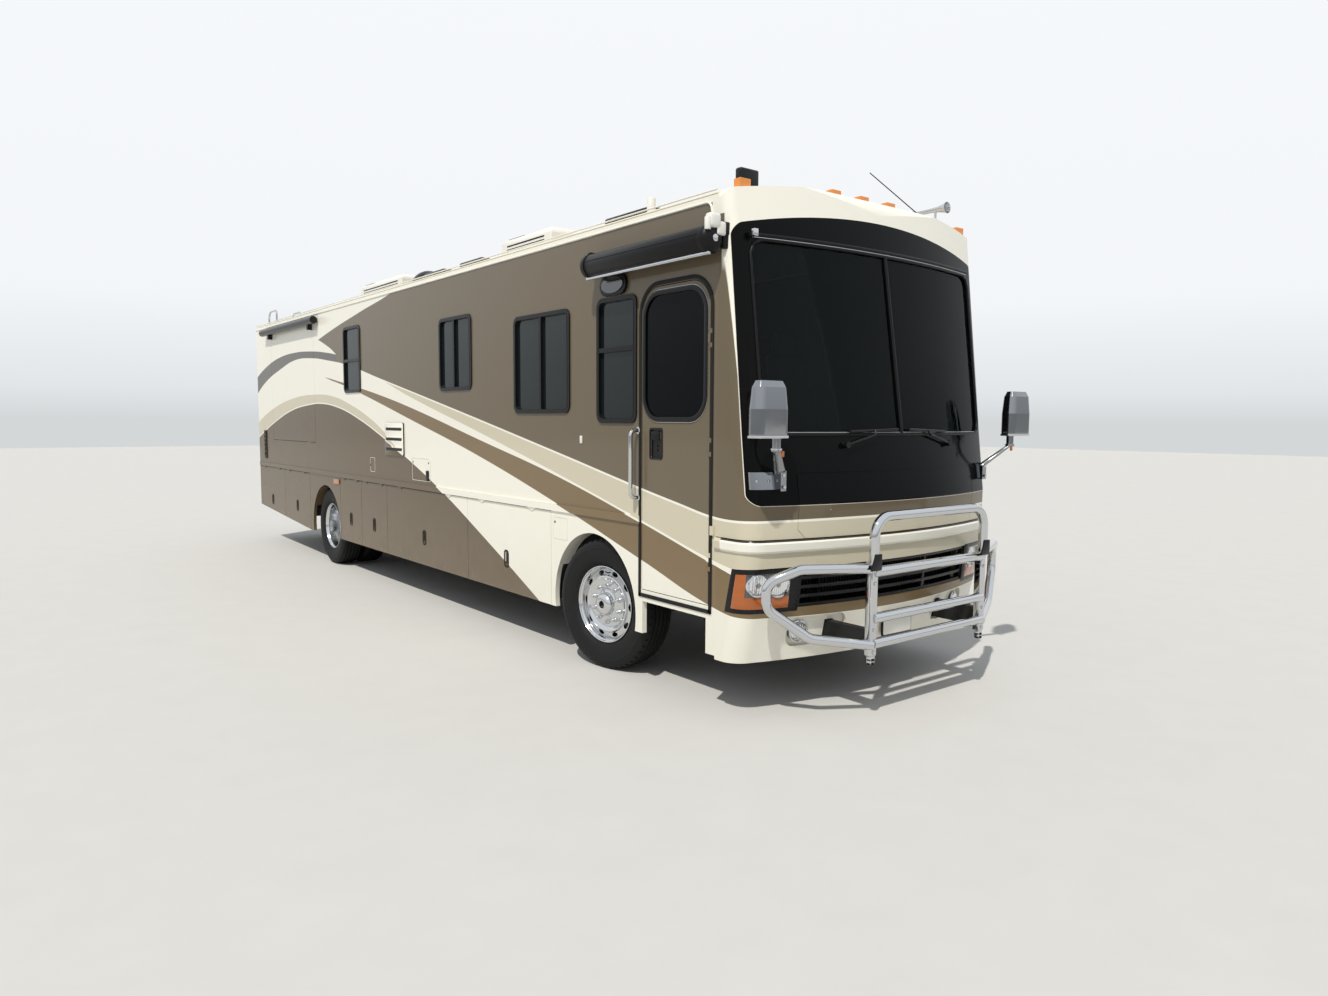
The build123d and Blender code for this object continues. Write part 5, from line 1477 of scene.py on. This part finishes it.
def makeNoseTrim():
    core = []
    y = at(nose["coreStation"])
    bottom, top = nose["coreLevels"]
    pitch = nose["finPitch"]
    for low, high in nose["core"]:
        core.append(block("core", (low, y, bottom), (high, y + 0.02, top), 0.004))
        for count in range(int((high - low) / pitch)):
            x = low + 0.02 + pitch * count
            core.append(block("fin", (x, y - 0.012, bottom + 0.02), (x + 0.006, y, top - 0.02), 0.001, 1))
    fitted(core, "radiatorCore", "satin")
    x, station, level = nose["plate"]
    blank = plate("blankPlate", 0.305, 0.152, 0.003, 0.012, 0.001)
    dress(moved(blank, facing("front", (x, at(station), level))), "white", "coach")
    holder = plate("plateHolder", 0.325, 0.172, 0.012, 0.015, 0.003)
    moved(holder, facing("front", (x, at(station) + 0.013, level)))
    dress(holder, "satin", "coach")
    rings = []
    for side in (-1, 1):
        for (across, level), radius in zip(lampBowls["centres"], lampBowls["bezels"]):
            inner, outer = radius - 0.006, radius + 0.004
            profile = [(inner, 0), (outer, 0), (outer, 0.003), (radius - 0.002, 0.006), (inner, 0.003)]
            x = side * across
            slope = (noseStation(x + 0.01, level) - noseStation(x - 0.01, level)) / 0.02
            place = Matrix.Translation(onNose(x, level, -0.003)) @ Matrix.Rotation(math.atan(slope), 4, "Z")
            rings.append(moved(spun("bezel", profile, 40), place @ facing("front", (0, 0, 0))))
    fitted(rings, "lampBezels", "chrome")


makeNoseTrim()
print("nose trimmed")

# Below the entry door: dark shield with ribs behind the folded step, and its side plate

shield = {
    "stations": (-1.325, -0.600),
    "x": -0.700,
    "levels": (0.372, 0.618),
    "ribs": (0.392, 0.448, 0.504, 0.560),
}


def makeStepShield():
    front, rear = (at(s) for s in shield["stations"])
    x = shield["x"]
    low, high = shield["levels"]
    parts = [block("shield", (x, front, low), (x + 0.030, rear, high), 0.006)]
    for level in shield["ribs"]:
        corners = (x - 0.022, front + 0.020, level), (x, rear - 0.020, level + 0.030)
        parts.append(block("rib", *corners, 0.006, 3))
    parts.append(block("side", (-1.215, front - 0.013, 0.440), (x, front + 0.007, high), 0.005))
    fitted(parts, "stepShield", "satin")


makeStepShield()
print("step shield fitted")

# Roof: vents with their lids, dome, small box and whip behind the nose, then dark strips painted as the shade
# in the louvres of the air units

roof = {
    # Vents: low and high x, first and last station
    "vents": [(-0.88, -0.48, -0.12, 0.50), (-0.88, -0.48, 2.70, 3.20), (-0.88, -0.48, 3.60, 4.10),
              (0.20, 0.60, 4.30, 4.70), (0.20, 0.60, 7.60, 8.00)],
    "lidTop": 3.560,
    "dome": (-0.62, 4.55, 3.446),
    "domeProfile": [(0.0, 0.228), (0.06, 0.220), (0.115, 0.196), (0.162, 0.158), (0.196, 0.110),
                    (0.212, 0.060), (0.220, 0.010), (0.236, 0.004), (0.236, -0.014), (0.0, -0.014)],
    "box": ((-0.965, at(-1.230), 3.42), (-0.795, at(-1.170), 3.600)),
    "whipFoot": (1.0, -1.345, 3.45),
    "whipTip": (1.0, -0.690, 3.998),
    "stack": (-1.07, -0.390, 3.530),
    "airUnits": [(1.50, 2.45), (5.00, 6.40)],
    "airSides": (-0.78, -0.18),
    "airTop": 3.69,
}


def makeRoofVents():
    parts = []
    top = roof["lidTop"]
    for x0, x1, first, last in roof["vents"]:
        for name, inset, low, high, bevel, segments in (
                ("base", 0.03, top - 0.13, top - 0.06, 0.008, 2), ("lid", 0, top - 0.065, top, 0.022, 4),
                ("rib", 0.09, top - 0.005, top + 0.008, 0.006, 2)):
            corners = (x0 + inset, at(first + inset), low), (x1 - inset, at(last - inset), high)
            parts.append(block(name, *corners, bevel, segments))
    x, station, level = roof["dome"]
    dome = spun("dome", roof["domeProfile"], 48)
    parts.append(moved(dome, Matrix.Translation((x, at(station), level))))
    parts.append(block("box", *roof["box"], 0.014, 3))
    x, station, level = roof["whipFoot"]
    parts.append(bar("foot", (x, at(station), level - 0.05), (x, at(station), level), 0.016, 20))
    tipX, tipStation, tipLevel = roof["whipTip"]
    parts.append(bar("whip", (x, at(station), level - 0.012), (tipX, at(tipStation), tipLevel), 0.0045, 12))
    fitted(parts, "roofVents", "black", ["roof_vents"])
    x, station, level = roof["stack"]
    stack = bar("stack", (x, at(station), level - 0.15), (x, at(station), level), 0.032, 32)
    dress(stack, "white", "coach")


def makeRoofTrim():
    low, high = roof["airSides"]
    top = roof["airTop"]
    dark = []
    for first, last in roof["airUnits"]:
        # Dark strips on the top and the side of each air unit are painted shade in its louvre slots
        for count in range(9):
            y = at(last - 0.10 - 0.035 * count)
            corners = (low + 0.04, y, top - 0.0015), (high - 0.04, y + 0.016, top + 0.0025)
            dark.append(block("slot", *corners, 0.001))
        for count in range(4):
            level = top - 0.19 + 0.035 * count
            front, rear = at(first + 0.12), at(last - 0.12)
            corners = (low - 0.0025, front, level), (low + 0.0015, rear, level + 0.014)
            dark.append(block("slot", *corners, 0.001))
    fitted(dark, "airUnitSlotShade", "satin")


makeRoofVents()
makeRoofTrim()
print("roof trimmed")

# Cab: headrests and padded cushions of the two front seats

seats = {
    "middles": (-0.48, 0.62),
    "cushion": (-0.755, -0.215, 1.70, 1.79),
    "back": (-0.195, 2.12),
    "rest": (-0.155, -0.055, 2.50, 2.68),
    "lean": -12,
}


def makeSeats():
    soft = []
    for x in seats["middles"]:
        first, last, low, high = seats["cushion"]
        soft.append(block("cushion", (x - 0.255, at(first), low), (x + 0.255, at(last), high), 0.035, 4))
        back = block("back", (x - 0.235, -0.045, -0.36), (x + 0.235, 0.045, 0.36), 0.035, 4)
        station, level = seats["back"]
        lean = Matrix.Rotation(math.radians(seats["lean"]), 4, "X")
        soft.append(moved(back, Matrix.Translation((0, at(station), level)) @ lean))
        first, last, low, high = seats["rest"]
        soft.append(block("rest", (x - 0.14, at(first), low), (x + 0.14, at(last), high), 0.04, 4))
    fitted(soft, "seatPads", "cloth")


makeSeats()
print("cab fitted")
